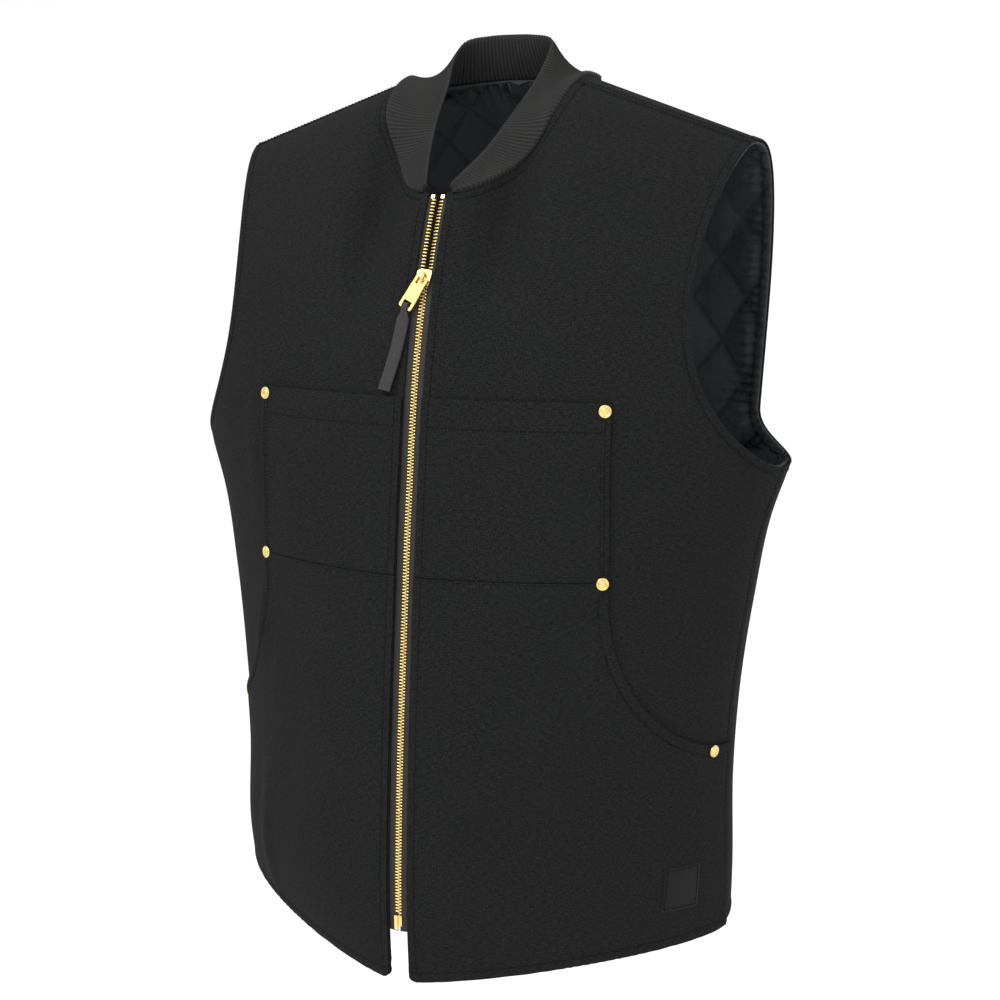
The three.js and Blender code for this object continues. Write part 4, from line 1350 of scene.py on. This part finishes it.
@dataclass
class Pockets:
    """Patch pocket on each front, with folded edges."""

    top: float = -246
    edge_x: float = 148
    cross: float = -382
    mouth_top: float = -394
    mouth_drop: float = 130
    lift: float = 1.0
    thick: float = 1.3
    step: float = 0.4
    inner_x: float = 8.35
    side_gap: float = 0.0012
    rows: int = 110
    columns: int = 84
    dimple: float = 0.7
    dimple_width: float = 8.0
    edge_roll: Roll = Roll(8, 0.6)
    hem_roll: Roll = Roll(8, 0.6)
    seam_roll: Roll = Roll(5, 0.5)
    top_roll: Roll = Roll(22, 0.35)
    faces: dict[Hand, tuple[Array, Array]] = field(default_factory=dict)

    def edge_angle(self, z: Array) -> Array:
        """Angle of the straight outer edge at a height."""
        return FORM.section_angle(Side.FRONT, np.full_like(z, self.edge_x), z)

    def mouth_start(self) -> float:
        """Angle where the mouth begins at the foot of the straight edge."""
        return float(self.edge_angle(np.array([float(self.mouth_top)]))[0])

    def contour(self, count: int = 240) -> tuple[Array, Array]:
        """Free outer edge by angle and height: straight down, then a quarter oval to the side seam.

        Args:
            count: number of points of the oval.

        Returns:
            Angles and heights.
        """
        straight = np.linspace(self.top, self.mouth_top, count // 2)
        start = self.mouth_start()
        turn = np.linspace(0, RIGHT_ANGLE, count)[1:]
        angle = start + (RIGHT_ANGLE - self.side_gap - start) * (1 - np.cos(turn))
        z = self.mouth_top - self.mouth_drop * np.sin(turn)
        return np.concatenate([self.edge_angle(straight), angle]), np.concatenate([straight, z])

    def lower(self) -> tuple[Array, Array]:
        """Angles and heights of the part under the cross seam and the mouth, down to the hem."""
        start = self.mouth_start()
        inner = float(FORM.section_angle(Side.FRONT, np.array(self.inner_x), np.array(-500.0)))
        half = self.columns // 2
        turn = np.linspace(0, RIGHT_ANGLE, half)[1:]
        outer = start + (RIGHT_ANGLE - self.side_gap - start) * (1 - np.cos(turn))
        ease = smooth_step(0, 1, np.linspace(0, 1, half))
        angle = np.concatenate([inner + (start - inner) * ease, outer])
        top = np.concatenate([np.full(half, self.cross), self.mouth_top - self.mouth_drop * np.sin(turn)])
        up = smooth_step(-0.35, 1.35, np.linspace(0, 1, self.rows))
        up = ((up - up[0]) / (up[-1] - up[0]))[:, None]
        height = FORM.hem(Side.FRONT, angle) * (1 - up) + top * up
        return np.broadcast_to(angle, (self.rows, len(angle))), height

    def upper(self) -> tuple[Array, Array]:
        """Angles and heights of the chest pocket above the cross seam."""
        z = np.linspace(self.cross, self.top, self.rows // 2)[:, None]
        first = FORM.section_angle(Side.FRONT, np.full_like(z, self.inner_x), z)
        angle = first + (self.edge_angle(z) - first) * smooth_step(0, 1, np.linspace(0, 1, self.columns // 2))
        return angle, z + 0 * angle

    def rise(self, points: Array, shell: Shell, hand: Hand, rivets: Array) -> Array:
        """Height of the patch over the form: the shell's relief, sewn edges and dimples at the rivets.

        Args:
            points: points of the form.
            shell: panels that the patch lies on.
            hand: side of the body.
            rivets: points of the rivets.

        Returns:
            Height of the inner face.
        """
        panel = shell.front(shell.columns).points
        rise = shell.worn(points, hand, (panel[0], panel[-1], panel[:, 0], panel[:, -1])) + self.lift
        edge = FORM.point(Side.FRONT, *self.contour())
        x = np.linspace(self.inner_x, self.edge_x, 160)
        top = FORM.point(Side.FRONT, FORM.section_angle(Side.FRONT, x, self.top + 0 * x), self.top + 0 * x)
        lines = (edge, panel[0], panel[:shell.lower_rows, -1], top)
        for line, roll in zip(lines, (self.edge_roll, self.hem_roll, self.seam_roll, self.top_roll)):
            rise = rise + roll.lift(nearest(points, line)[0])
        return rise - self.dimple * np.exp(-(nearest(points, rivets)[0] / self.dimple_width) ** 2)

    def build(self, shell: Shell, rivets: Array, finishes: Finishes) -> None:
        """Makes both patches, each of a lower part that laps over the upper one at the cross seam.

        Args:
            shell: panels that the patches lie on.
            rivets: points of the rivets on the left.
            finishes: materials.
        """
        for hand in Hand:
            name = f"pocket_{hand.word}"
            parts, strips, points, normals = [], [], [], []
            for (angle, z), lap in ((self.lower(), self.step), (self.upper(), 0.0)):
                p, n = FORM.point_and_normal(Side.FRONT, angle, z)
                strip = Strip(p, n, FORM.flat(Side.FRONT, p))
                inner = self.rise(p, shell, hand, rivets) + lap * smooth_step(self.cross - 60, self.cross, z)
                outer = inner + self.thick
                strips.append(strip)
                points.append(strip.moved(outer).points.reshape(-1, 3))
                normals.append(n.reshape(-1, 3))
                if hand is Hand.RIGHT:
                    strip, inner, outer = strip.mirrored(), inner[:, ::-1], outer[:, ::-1]
                parts.append(wall(strip, outer, inner))
            self.faces[hand] = np.concatenate(points), np.concatenate(normals)
            obj = make_object(name + "_canvas", Mesh.joined(parts))
            dress(obj, finishes.canvas, Body.VEST, "canvas", name)
            cut_sheet(strips, [f"front_{hand.word}_canvas"])


@dataclass
class Zip:
    """Front zip: tapes and rows of separate elements."""

    top: float = -97
    bottom: float = -650
    tape_top: float = -95
    tape_bottom: float = -664
    slider: float = -157
    slider_length: float = 13
    opening: float = 2.4
    tape_near: float = 1.2
    tape_far: float = 17.5
    depth: float = 2.375
    tape: float = 1.0
    teeth_depth: float = 2.775
    pitch: float = 2.5
    nose: float = -1.1
    reach: float = 4.0
    tall: float = 1.1
    thick: float = 2.8
    first: float = 1.5
    ring_power: float = 0.2
    tape_rows: int = 240
    tape_columns: int = 12
    # Along an element from the tape to its nose: share of the reach, of the height and of the thickness
    element: tuple[tuple[float, float, float], ...] = (
        (0.0, 0.9, 0.8), (0.12, 1.0, 1.0), (0.3, 0.95, 1.0),
        (0.48, 0.76, 0.9), (0.8, 0.8, 0.85), (1.0, 0.4, 0.5),
    )

    def aside(self, z: Array) -> Array:
        """How far each half has moved aside at a height, nothing below the slider."""
        reach = self.slider_length / 2
        return self.opening * np.clip((z - self.slider + reach) / (2 * reach), 0, 1)

    @staticmethod
    def middle(x: Array, z: Array) -> tuple[Array, Array]:
        """Points and normals of the front near the middle."""
        return FORM.point_and_normal(Side.FRONT, FORM.section_angle(Side.FRONT, x, z), z)

    def tapes(self, finishes: Finishes) -> None:
        """Woven tapes under the front edges, run on between the elements.

        Args:
            finishes: materials of the vest.
        """
        z = np.linspace(self.tape_bottom, self.tape_top, self.tape_rows)[:, None]
        x = np.linspace(self.tape_near, self.tape_far, self.tape_columns)[None] + self.aside(z)
        p, n = self.middle(x, z + 0 * x)
        strip = Strip(p, n, np.stack([x + 0 * z, z + 0 * x], -1))
        for hand in Hand:
            word = hand.word
            part = strip if hand is Hand.LEFT else strip.mirrored()
            obj = make_object(f"zip_tape_{word}_weave", wall(part, -self.depth, -self.depth - self.tape))
            dress(obj, finishes.tape, Body.VEST, "tape", f"zip_tape_{word}")
            cut_sheet([part], [f"front_{word}_canvas"])

    def row(self, hand: Hand) -> Mesh:
        """Row of elements: each a ring of eight points carried from the tape to a waisted nose.

        Args:
            hand: side of the body.

        Returns:
            The row.
        """
        share, high, deep = np.array(self.element).T
        around = np.radians(np.arange(-135, 181, 45))
        ring = np.stack([np.cos(around), np.sin(around)], -1)
        ring = np.sign(ring) * np.abs(ring) ** self.ring_power
        first = self.bottom + self.first + (0.0 if hand is Hand.LEFT else self.pitch / 2)
        z = np.arange(first, self.top, self.pitch)
        x = (self.nose + self.aside(z))[:, None] + self.reach * (1 - share)
        p, n = self.middle(np.abs(x), z[:, None] + 0 * x)
        p[..., 0] = x
        n = unit(n * np.array([0, 1, 1]))
        up = np.cross(n, np.array([1.0, 0, 0]))
        centre = p - n * self.teeth_depth
        size_up = self.tall / 2 * high[:, None] * ring[:, 0]
        size_out = self.thick / 2 * deep[:, None] * ring[:, 1]
        points = centre[:, :, None] + up[:, :, None] * size_up[..., None]
        points = points + n[:, :, None] * size_out[..., None]
        points = points * np.array([hand.value, 1, 1])
        i = np.arange(points[..., 0].size).reshape(points.shape[:3])
        j = np.roll(i, -1, axis=2)
        quads = np.stack([i[:, :-1], j[:, :-1], j[:, 1:], i[:, 1:]], -1).reshape(-1, 4)
        cap = np.array([[0, 1, 2, 3], [0, 3, 4, 7], [4, 5, 6, 7]])
        ends = [i[:, 0][:, cap].reshape(-1, 4)[:, ::-1], i[:, -1][:, cap].reshape(-1, 4)]
        faces = np.concatenate([quads, *ends])
        return Mesh(points.reshape(-1, 3), faces[:, ::-1] if hand is Hand.LEFT else faces)

    def build(self, finishes: Finishes) -> None:
        """Makes tapes and teeth and dresses the metal parts of the frame.

        Args:
            finishes: materials of the vest.
        """
        self.tapes(finishes)
        for hand in Hand:
            word = hand.word
            obj = make_object(f"zip_teeth_{word}_row", self.row(hand))
            dress(obj, finishes.brass, Body.VEST, "brass", f"zip_teeth_{word}")
        for name in ("zip_stop_left", "zip_stop_right", "zip_pin", "zip_box", "zip_slider", "pull_tab"):
            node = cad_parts[name]
            node.data.materials.clear()
            node.data.materials.append(finishes.brass)


@dataclass
class Strap:
    """Woven strap doubled through the pull tab's slot."""

    length: float = 62
    width: float = 10
    thick: float = 1.6
    neck: float = 5
    loop: float = 7.4
    bow: float = 1.6
    tab_length: float = 28
    tab_bar: float = 1.6
    tab_thick: float = 1.5
    slot_margin: float = 2.2
    gap: float = 0.35
    slider: float = -157
    bridge_out: float = 2.4
    tab_turn: float = -27
    tab_tilt: float = 1.5
    turn: float = 17
    tilt: float = 3
    frame_reach: float = 4.0
    bend_points: int = 41
    bend_trim: int = 5
    tail_points: int = 60
    tail_start: float = 2.5
    across_points: int = 13
    play: float = 0.02
    taper: tuple[float, float] = (1, 7)
    edge_thin: float = 0.15
    edge_power: int = 6

    def place(self) -> Array:
        """Place of the strap: on the slider's frame, turned with the tab and then by its own lean.

        Returns:
            Matrix of the place, in millimetres.
        """
        heights = self.slider + np.array([0.0, 1.0, -1.0]) * self.frame_reach
        p = FORM.point(Side.FRONT, np.zeros(3), heights)
        up = Vector(p[1] - p[2]).normalized()
        across = Vector((1, 0, 0))
        out = across.cross(up)
        basis = Matrix((across, up, out)).transposed().to_4x4()
        here = Matrix.Translation(Vector(p[0]) + out * self.bridge_out)
        pull = here @ basis @ Matrix.Rotation(math.radians(self.tab_turn), 4, "Z")
        pull = pull @ Matrix.Rotation(math.radians(self.tab_tilt), 4, "X")
        down = Matrix.Translation((0, self.tab_bar / 2 - self.tab_length + self.slot_margin / 2, 0))
        tilt = Matrix.Rotation(math.radians(self.tilt), 4, "X")
        turn = Matrix.Rotation(math.radians(self.turn), 4, "Z")
        return np.array(pull @ down @ (tilt @ turn))

    def build(self, finishes: Finishes) -> None:
        """Makes the strap as a ribbon carried along a hairpin: up the back, round the bar, down the front.

        Args:
            finishes: materials of the vest.
        """
        ply = self.thick / 2
        ring = self.tab_thick / 2 + 2 * self.gap + ply / 2
        bend = np.linspace(-0.5 * math.pi, 1.5 * math.pi, self.bend_points)
        half = self.loop / 2 - ply / 2
        loop = np.stack([half * np.sin(bend), -ring * np.cos(bend)], -1)[self.bend_trim:-self.bend_trim]
        tail = np.linspace(-half - self.tail_start, -half - self.length, self.tail_points)
        ease = ply / 2 + self.play
        back = np.stack([tail[::-1], np.full(self.tail_points, -ease)], -1)
        ahead = np.stack([tail, np.full(self.tail_points, ease)], -1)
        path = np.concatenate([back, loop, ahead])
        above, below = self.taper
        wide = self.neck + (self.width - self.neck) * smooth_step(-half + above, -half - below, path[:, 0])
        step = np.gradient(path, axis=0)
        side = unit(np.stack([-step[:, 1], step[:, 0]], -1))
        across = np.linspace(-0.5, 0.5, self.across_points)
        bow = self.bow * np.sin(math.pi * np.clip(-path[:, 0] / self.length, 0, 1))
        local = np.zeros((len(path), self.across_points, 3))
        local[..., 0] = wide[:, None] * across + bow[:, None]
        local[..., 1:] = path[:, None]
        normal = np.zeros_like(local)
        normal[..., 1:] = side[:, None]
        place = self.place()
        flat = np.stack(np.broadcast_arrays(wide[:, None] * across, run_length(path)[:, None]), -1)
        strip = Strip(local @ place[:3, :3].T + place[:3, 3], normal @ place[:3, :3].T, flat)
        edge = 1 - self.edge_thin + self.edge_thin * (1 - (2 * across[None]) ** self.edge_power)
        obj = make_object("pull_strap_weave", wall(strip, ply / 2 * edge, -ply / 2 * edge))
        dress(obj, finishes.strap, Body.PULL, "strap", "pull_strap")
        cut_sheet([strip], ["pull_tab"])


def settle(points: Array, face: tuple[Array, Array]) -> tuple[Array, Array]:
    """Drops points along the normals onto the plane at the closest vertex of a face.

    Args:
        points: list of points near the face.
        face: its vertices and their normals.

    Returns:
        The points on the face and its normals there.
    """
    _, number = nearest(points, face[0])
    normals = face[1][number]
    drop = ((face[0][number] - points) * normals).sum(-1, keepdims=True)
    return points + normals * drop, normals


@dataclass
class Trim:
    """Rivets and the bare label patch."""

    radius: float = 5.0
    height: float = 2.1
    sunk: float = 0.25
    places: tuple[tuple[str, float, float], ...] = (("top", 143.5, -252), ("middle", 144, -382))
    low: tuple[str, float, float] = ("low", 83, -526)
    label: tuple[float, float, float, float] = (75.7, -634, 31, 36)
    label_thick: float = 1.0
    label_fall: float = 0.4
    # Profile of a rivet from its middle out: share of the radius and of the height
    profile: tuple[tuple[float, float], ...] = (
        (0, 0.92), (0.14, 0.92), (0.2, 0.98), (0.3, 1.0), (0.4, 0.92), (0.47, 0.72), (0.54, 0.6),
        (0.61, 0.58), (0.67, 0.68), (0.74, 0.86), (0.84, 0.9), (0.94, 0.76), (1.0, 0.5), (1.0, 0.0), (0, 0.0),
    )
    turn_points: int = 49
    join: float = 0.000005
    label_points: tuple[int, int] = (40, 34)
    label_power: int = 14
    label_lift: float = 0.02

    def spots(self) -> dict[str, tuple[Array, Array]]:
        """Point and normal of the form at each rivet on the left, by name."""
        spots = {}
        for name, x, z in self.places:
            z = np.array(float(z))
            angle = FORM.section_angle(Side.FRONT, np.array(float(x)), z)
            spots[name] = FORM.point_and_normal(Side.FRONT, angle, z)
        name, angle, z = self.low
        spots[name] = FORM.point_and_normal(Side.FRONT, np.radians(angle), np.array(float(z)))
        return spots

    def build(self, pockets: Pockets, finishes: Finishes) -> None:
        """Makes the rivet caps: a turned profile with a ring groove and a dished crown.

        Args:
            pockets: patches that the rivets sit on.
            finishes: materials of the vest.
        """
        share, high = np.array(self.profile).T
        turn = np.linspace(0, 2 * math.pi, self.turn_points)
        for name, (p, n) in self.spots().items():
            across = unit(np.cross(np.array([0, 0, 1.0]), n))
            rim = across * np.cos(turn)[:, None] + np.cross(n, across) * np.sin(turn)[:, None]
            for hand in Hand:
                foot, _ = settle(p[None], pockets.faces[hand])
                grid = foot + rim[None] * (share * self.radius)[:, None, None]
                grid = grid + n * (high * self.height - self.sunk)[:, None, None]
                faces = grid_faces(*grid.shape[:2])
                shape = Mesh((grid * np.array([hand.value, 1, 1])).reshape(-1, 3),
                             faces[:, ::-1] if hand is Hand.LEFT else faces)
                node = f"rivet_{hand.word}_{name}"
                cap = weld(make_object(node + "_cap", shape), self.join)
                dress(cap, finishes.brass, Body.VEST, "brass", node)
        self.patch(pockets, finishes)

    def label_grid(self, rows: int, columns: int, inset: float = 0.0) -> Array:
        """Points of the form over the label's rectangle, less an inset at each edge.

        Args:
            rows: number of rows.
            columns: number of columns.
            inset: distance from the edges.

        Returns:
            Grid of points.
        """
        centre, z, wide, high = self.label
        middle = math.radians(centre)
        p = FORM.point(Side.FRONT, np.array(middle), np.array(float(z)))
        reach = (wide / 2 - inset) / float(np.hypot(p[0], p[1]))
        angle = np.linspace(middle - reach, middle + reach, columns)
        heights = np.linspace(z - high / 2 + inset, z + high / 2 - inset, rows)[:, None]
        return FORM.point(Side.FRONT, angle + 0 * heights, heights + 0 * angle)

    def patch(self, pockets: Pockets, finishes: Finishes) -> None:
        """Bare woven label, its edge falling off by a high power of the distance from the middle.

        Args:
            pockets: patches, of which the left one carries it.
            finishes: materials of the vest.
        """
        rows, columns = self.label_points
        points = self.label_grid(rows, columns)
        on_face, normals = settle(points.reshape(-1, 3), pockets.faces[Hand.LEFT])
        flat = FORM.flat(Side.FRONT, points)
        strip = Strip(on_face.reshape(points.shape), normals.reshape(points.shape), flat)
        side = np.abs(np.linspace(-1, 1, columns))[None] ** self.label_power
        end = np.abs(np.linspace(-1, 1, rows))[:, None] ** self.label_power
        fall = np.clip(side + end, 0, 1) * self.label_fall
        obj = make_object("label_patch_weave", wall(strip, self.label_thick - fall, self.label_lift))
        dress(obj, finishes.label, Body.VEST, "label", "label_patch")
        cut_sheet([strip], ["pocket_left_canvas"])


@dataclass
class Stitching:
    """Rows of sewing thread along the edges and seams."""

    pitch: float = 3.2
    length: float = 2.5
    radius: float = 0.45
    rise: float = 0.2
    points: int = 420
    zip_x: float = 14.0
    zip_top: float = -104
    top_hem: float = 22
    hem: float = 8
    cross_x: float = 9.5
    edge_x: float = 4
    edge_rows: tuple[float, float] = (4.2, 6.8)
    mouth: float = 8.0
    armhole: float = 6.5
    neck: float = 7.0
    pocket_seam: float = 0.024
    front_seam: float = 0.022
    hem_from: float = 0.06
    hem_to: float = 0.006
    neck_back: tuple[float, float, float] = (0, 6.0, -2.0)
    shoulder: tuple[tuple[float, float, float], ...] = ((0, 3.0, 0.6), (0, 9.0, 1.0))
    label_inset: float = 1.8
    label_share: int = 8

    def run(self, points: Array, normals: Array, lift: float) -> Mesh:
        """Stitches along a line: each a short bead of three square rings, sunk at its ends.

        Args:
            points: line in millimetres.
            normals: outward normals along the line.
            lift: height of the thread's middle above the line.

        Returns:
            The stitches.
        """
        length = run_length(points)
        count = max(int(length[-1] / self.pitch), 1)
        middle = (np.arange(count) + 0.5) * length[-1] / count
        at = np.clip(middle[:, None] + np.array([-0.5, 0.0, 0.5]) * self.length, 0, length[-1])
        place = np.stack([np.interp(at, length, points[:, k]) for k in range(3)], -1)
        out = unit(np.stack([np.interp(at, length, normals[:, k]) for k in range(3)], -1))
        ahead = unit(place[:, -1] - place[:, 0])[:, None]
        aside = unit(np.cross(out, ahead + 0 * out))
        sink = np.array([-0.3, 0.1, -0.3])
        thick = np.array([0.6, 1.0, 0.6]) * self.radius
        turn = np.radians([0, 90, 180, 270])[:, None]
        ring = aside[:, :, None] * np.cos(turn) + out[:, :, None] * np.sin(turn)
        centre = place + out * (lift + sink)[:, None]
        vertices = centre[:, :, None] + ring * thick[:, None, None]
        i = np.arange(count * 12).reshape(count, 3, 4)
        j = np.roll(i, -1, axis=2)
        quads = np.stack([i[:, :-1], i[:, 1:], j[:, 1:], j[:, :-1]], -1).reshape(-1, 4)
        return Mesh(vertices.reshape(-1, 3), np.concatenate([quads, i[:, 0], i[:, -1, ::-1]]))

    def sew(self, name: str, hand: Hand, lines: list[Array], face: tuple[Array, Array],
            finish: bpy.types.Material) -> None:
        """One piece of thread of several lines that lie on a face.

        Args:
            name: name of the piece.
            hand: side of the body.
            lines: lines on the left.
            face: vertices and normals of the cloth on the left.
            finish: material of the thread.
        """
        flip = np.array([hand.value, 1, 1])
        runs = []
        for line in lines:
            points, normals = settle(line, face)
            runs.append(self.run(points * flip, normals * flip, self.rise))
        dress(make_object(f"{name}_{hand.word}", Mesh.joined(runs)), finish, Body.VEST, "canvas")

    @staticmethod
    def beside(line: Array, away: float, side: Side = Side.FRONT) -> Array:
        """Line moved sideways over the form, by the cross product of its run and the outward direction.

        Args:
            line: points along an edge on the left.
            away: distance, to the right of the run as seen from outside.
            side: half of the body.

        Returns:
            The moved line.
        """
        x, z = np.abs(line[:, 0]), line[:, 2]
        _, normals = FORM.point_and_normal(side, FORM.section_angle(side, x, z), z)
        return line + unit(np.cross(np.gradient(line, axis=0), normals)) * away

    def at_x(self, x: Array | float, z: Array | float) -> Array:
        """Line on the front by distance from the middle and height."""
        x, z = np.broadcast_arrays(np.asarray(x, float), np.asarray(z, float))
        return FORM.point(Side.FRONT, FORM.section_angle(Side.FRONT, x, z), z)

    def pocket_lines(self, pockets: Pockets) -> list[Array]:
        """Lines on a patch: zip edge, top hem, cross seam, free edge, side seam and hem.

        Args:
            pockets: the patches.

        Returns:
            The lines, on the left.
        """
        n = self.points
        contour = FORM.point(Side.FRONT, *pockets.contour(n))
        straight = contour[:n // 2]
        seam_z = np.linspace(FORM.hem_side + 3, pockets.mouth_top - pockets.mouth_drop - 4, n)
        seam = FORM.point(Side.FRONT, RIGHT_ANGLE - self.pocket_seam + 0 * seam_z, seam_z)
        around = np.linspace(self.hem_from, RIGHT_ANGLE - self.hem_to, n)
        return [
            self.at_x(self.zip_x, np.linspace(FORM.hem_front + self.hem, pockets.top - 1, n)),
            self.at_x(np.linspace(self.zip_x, pockets.edge_x - self.edge_x, n), pockets.top - self.top_hem),
            self.at_x(np.linspace(self.cross_x, pockets.edge_x - self.edge_x, n), pockets.cross - 1.5),
            *(self.beside(straight, away) for away in self.edge_rows),
            self.beside(contour[n // 2:], self.mouth),
            seam,
            FORM.point(Side.FRONT, around, FORM.hem(Side.FRONT, around) + self.hem),
        ]

    def build(self, shell: Shell, pockets: Pockets, trim: Trim, finishes: Finishes) -> None:
        """Sews the edges and seams of the shell, the patches and the label.

        Args:
            shell: panels.
            pockets: patches.
            trim: label.
            finishes: materials.
        """
        n = self.points
        neck_front, neck_back = Collar.seam()
        for hand in Hand:
            front, back = shell.faces[Side.FRONT, hand], shell.faces[Side.BACK, hand]
            face = front.points.reshape(-1, 3), front.normals.reshape(-1, 3)
            rear = back.points.reshape(-1, 3), back.normals.reshape(-1, 3)
            low = shell.lower_rows
            p, q = front.points, back.points
            seam_z = np.linspace(pockets.mouth_top - pockets.mouth_drop + 6, FORM.underarm, n)
            lines = [
                self.at_x(self.zip_x, np.linspace(pockets.top + 1, self.zip_top, n)),
                self.beside(p[low:, -1], -self.armhole),
                FORM.point(Side.FRONT, RIGHT_ANGLE - self.front_seam + 0 * seam_z, seam_z),
                self.beside(neck_front[:-6], self.neck),
            ]
            self.sew("thread_front", hand, lines, face, finishes.thread)
            around = np.linspace(0.0, RIGHT_ANGLE - self.hem_to, n)
            lines = [
                self.beside(q[low:-6, -1], self.armhole, Side.BACK),
                FORM.point(Side.BACK, around, FORM.hem(Side.BACK, around) + self.hem),
                neck_back + np.array(self.neck_back),
                *(q[-1] + np.array(away) for away in self.shoulder),
            ]
            self.sew("thread_back", hand, lines, rear, finishes.thread)
            self.sew("thread_pocket", hand, self.pocket_lines(pockets), pockets.faces[hand], finishes.thread)
        side = n // self.label_share
        grid = trim.label_grid(side, side, self.label_inset)
        loop = np.concatenate([grid[0], grid[:, -1], grid[-1, ::-1], grid[::-1, 0]])
        points, normals = pockets.faces[Hand.LEFT]
        face = points + normals * trim.label_thick, normals
        self.sew("thread_label", Hand.LEFT, [loop], face, finishes.thread)


@dataclass
class Studio:
    """Camera at the photograph's angle, pale floor and soft light."""

    azimuth: float = 22.85
    distance: float = 1401
    aside: float = 14.4
    eye: float = -118
    pitch: float = 9.16
    roll: float = 0.656
    focal: float = 1693
    floor: float = -1500
    surround: float = 0.97
    sensor: float = 36
    pixels: float = 1000
    # Name, place and target in metres, side of the square and power of each light
    lights: tuple[tuple[str, tuple, tuple, float, float], ...] = (
        ("key", (-0.8, -1.9, 2.1), (0, 0, -0.15), 2.0, 75),
        ("fill", (2.4, -2.2, 0.6), (0, 0, -0.35), 2.4, 20),
        ("rim", (2.2, 1.6, 1.2), (0.1, 0, -0.3), 1.6, 14),
    )

    def camera(self) -> None:
        """Camera by its azimuth, distance from the vest's axis, height and downward pitch."""
        theta, p, rho = (math.radians(v) for v in (self.azimuth, self.pitch, self.roll))
        level = Vector((math.cos(theta), math.sin(theta), 0))
        ahead = Vector((-math.sin(theta), math.cos(theta), 0))
        look = ahead * math.cos(p) - Vector((0, 0, 1)) * math.sin(p)
        up = level.cross(look)
        right, up = level * math.cos(rho) + up * math.sin(rho), up * math.cos(rho) - level * math.sin(rho)
        place = (level * self.aside - ahead * self.distance) * MM
        place.z = self.eye * MM
        data = bpy.data.cameras.new("camera")
        data.sensor_width = self.sensor
        data.lens = self.focal * data.sensor_width / self.pixels
        data.clip_start, data.clip_end = 0.05, 60
        camera = bpy.data.objects.new("camera", data)
        camera.matrix_world = Matrix.Translation(place) @ Matrix((right, up, -look)).transposed().to_4x4()
        bpy.context.scene.collection.objects.link(camera)
        bpy.context.scene.camera = camera

    @staticmethod
    def light(name: str, place: tuple, target: tuple, size: float, power: float) -> None:
        """Square soft light that faces a point.

        Args:
            name: name of the light.
            place: where it stands, in metres.
            target: point that it faces.
            size: side of the square in metres.
            power: watts.
        """
        data = bpy.data.lights.new(name, "AREA")
        data.size = size
        data.energy = power
        lamp = bpy.data.objects.new(name, data)
        lamp.location = place
        lamp.rotation_mode = "QUATERNION"
        lamp.rotation_quaternion = (Vector(target) - Vector(place)).to_track_quat("-Z", "Y")
        bpy.context.scene.collection.objects.link(lamp)

    def backdrop(self) -> None:
        """Pale floor that rises behind in a quarter round."""
        g = Graph("pale_floor")
        g.set(Base_Color=g.mix(g.noise(3.0), grey(0.96), grey(0.98)), Roughness=0.7)
        rows, columns, near, deep = 60, 8, -6000, 9000
        s = np.linspace(0, 2, rows)
        bend = np.clip(s - 1, 0, 1) * RIGHT_ANGLE
        grid = np.zeros((rows, columns, 3))
        grid[..., 0] = np.linspace(-deep, deep, columns)
        grid[..., 1] = (near + deep * np.minimum(s, 1) + deep / 3 * np.sin(bend))[:, None]
        grid[..., 2] = (self.floor + deep / 3 * (1 - np.cos(bend)))[:, None]
        floor = make_object("floor", Mesh(grid.reshape(-1, 3), grid_faces(rows, columns)))
        floor.data.materials.append(g.material)

    def build(self) -> None:
        """Makes the camera, the lights and the floor."""
        self.camera()
        self.backdrop()
        for light in self.lights:
            self.light(*light)
        world = bpy.data.worlds.new("studio")
        world.use_nodes = True
        background = world.node_tree.nodes["Background"]
        background.inputs["Color"].default_value = (1, 1, 1, 1)
        background.inputs["Strength"].default_value = self.surround
        bpy.context.scene.world = world
        bpy.context.scene.view_settings.view_transform = "Standard"


def main() -> None:
    """Builds the studio and the vest's sub-assemblies in order."""
    logging.basicConfig(level=logging.INFO, format="%(name)s %(message)s")
    Studio().build()
    finishes = Finishes()
    shell, pockets, trim = Shell(), Pockets(), Trim()
    shell.build(finishes)
    Collar().build(finishes)
    pockets.build(shell, np.stack([p for p, _ in trim.spots().values()]), finishes)
    Zip().build(finishes)
    Strap().build(finishes)
    trim.build(pockets, finishes)
    Stitching().build(shell, pockets, trim, finishes)
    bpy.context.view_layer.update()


if __name__ == "__main__":
    main()
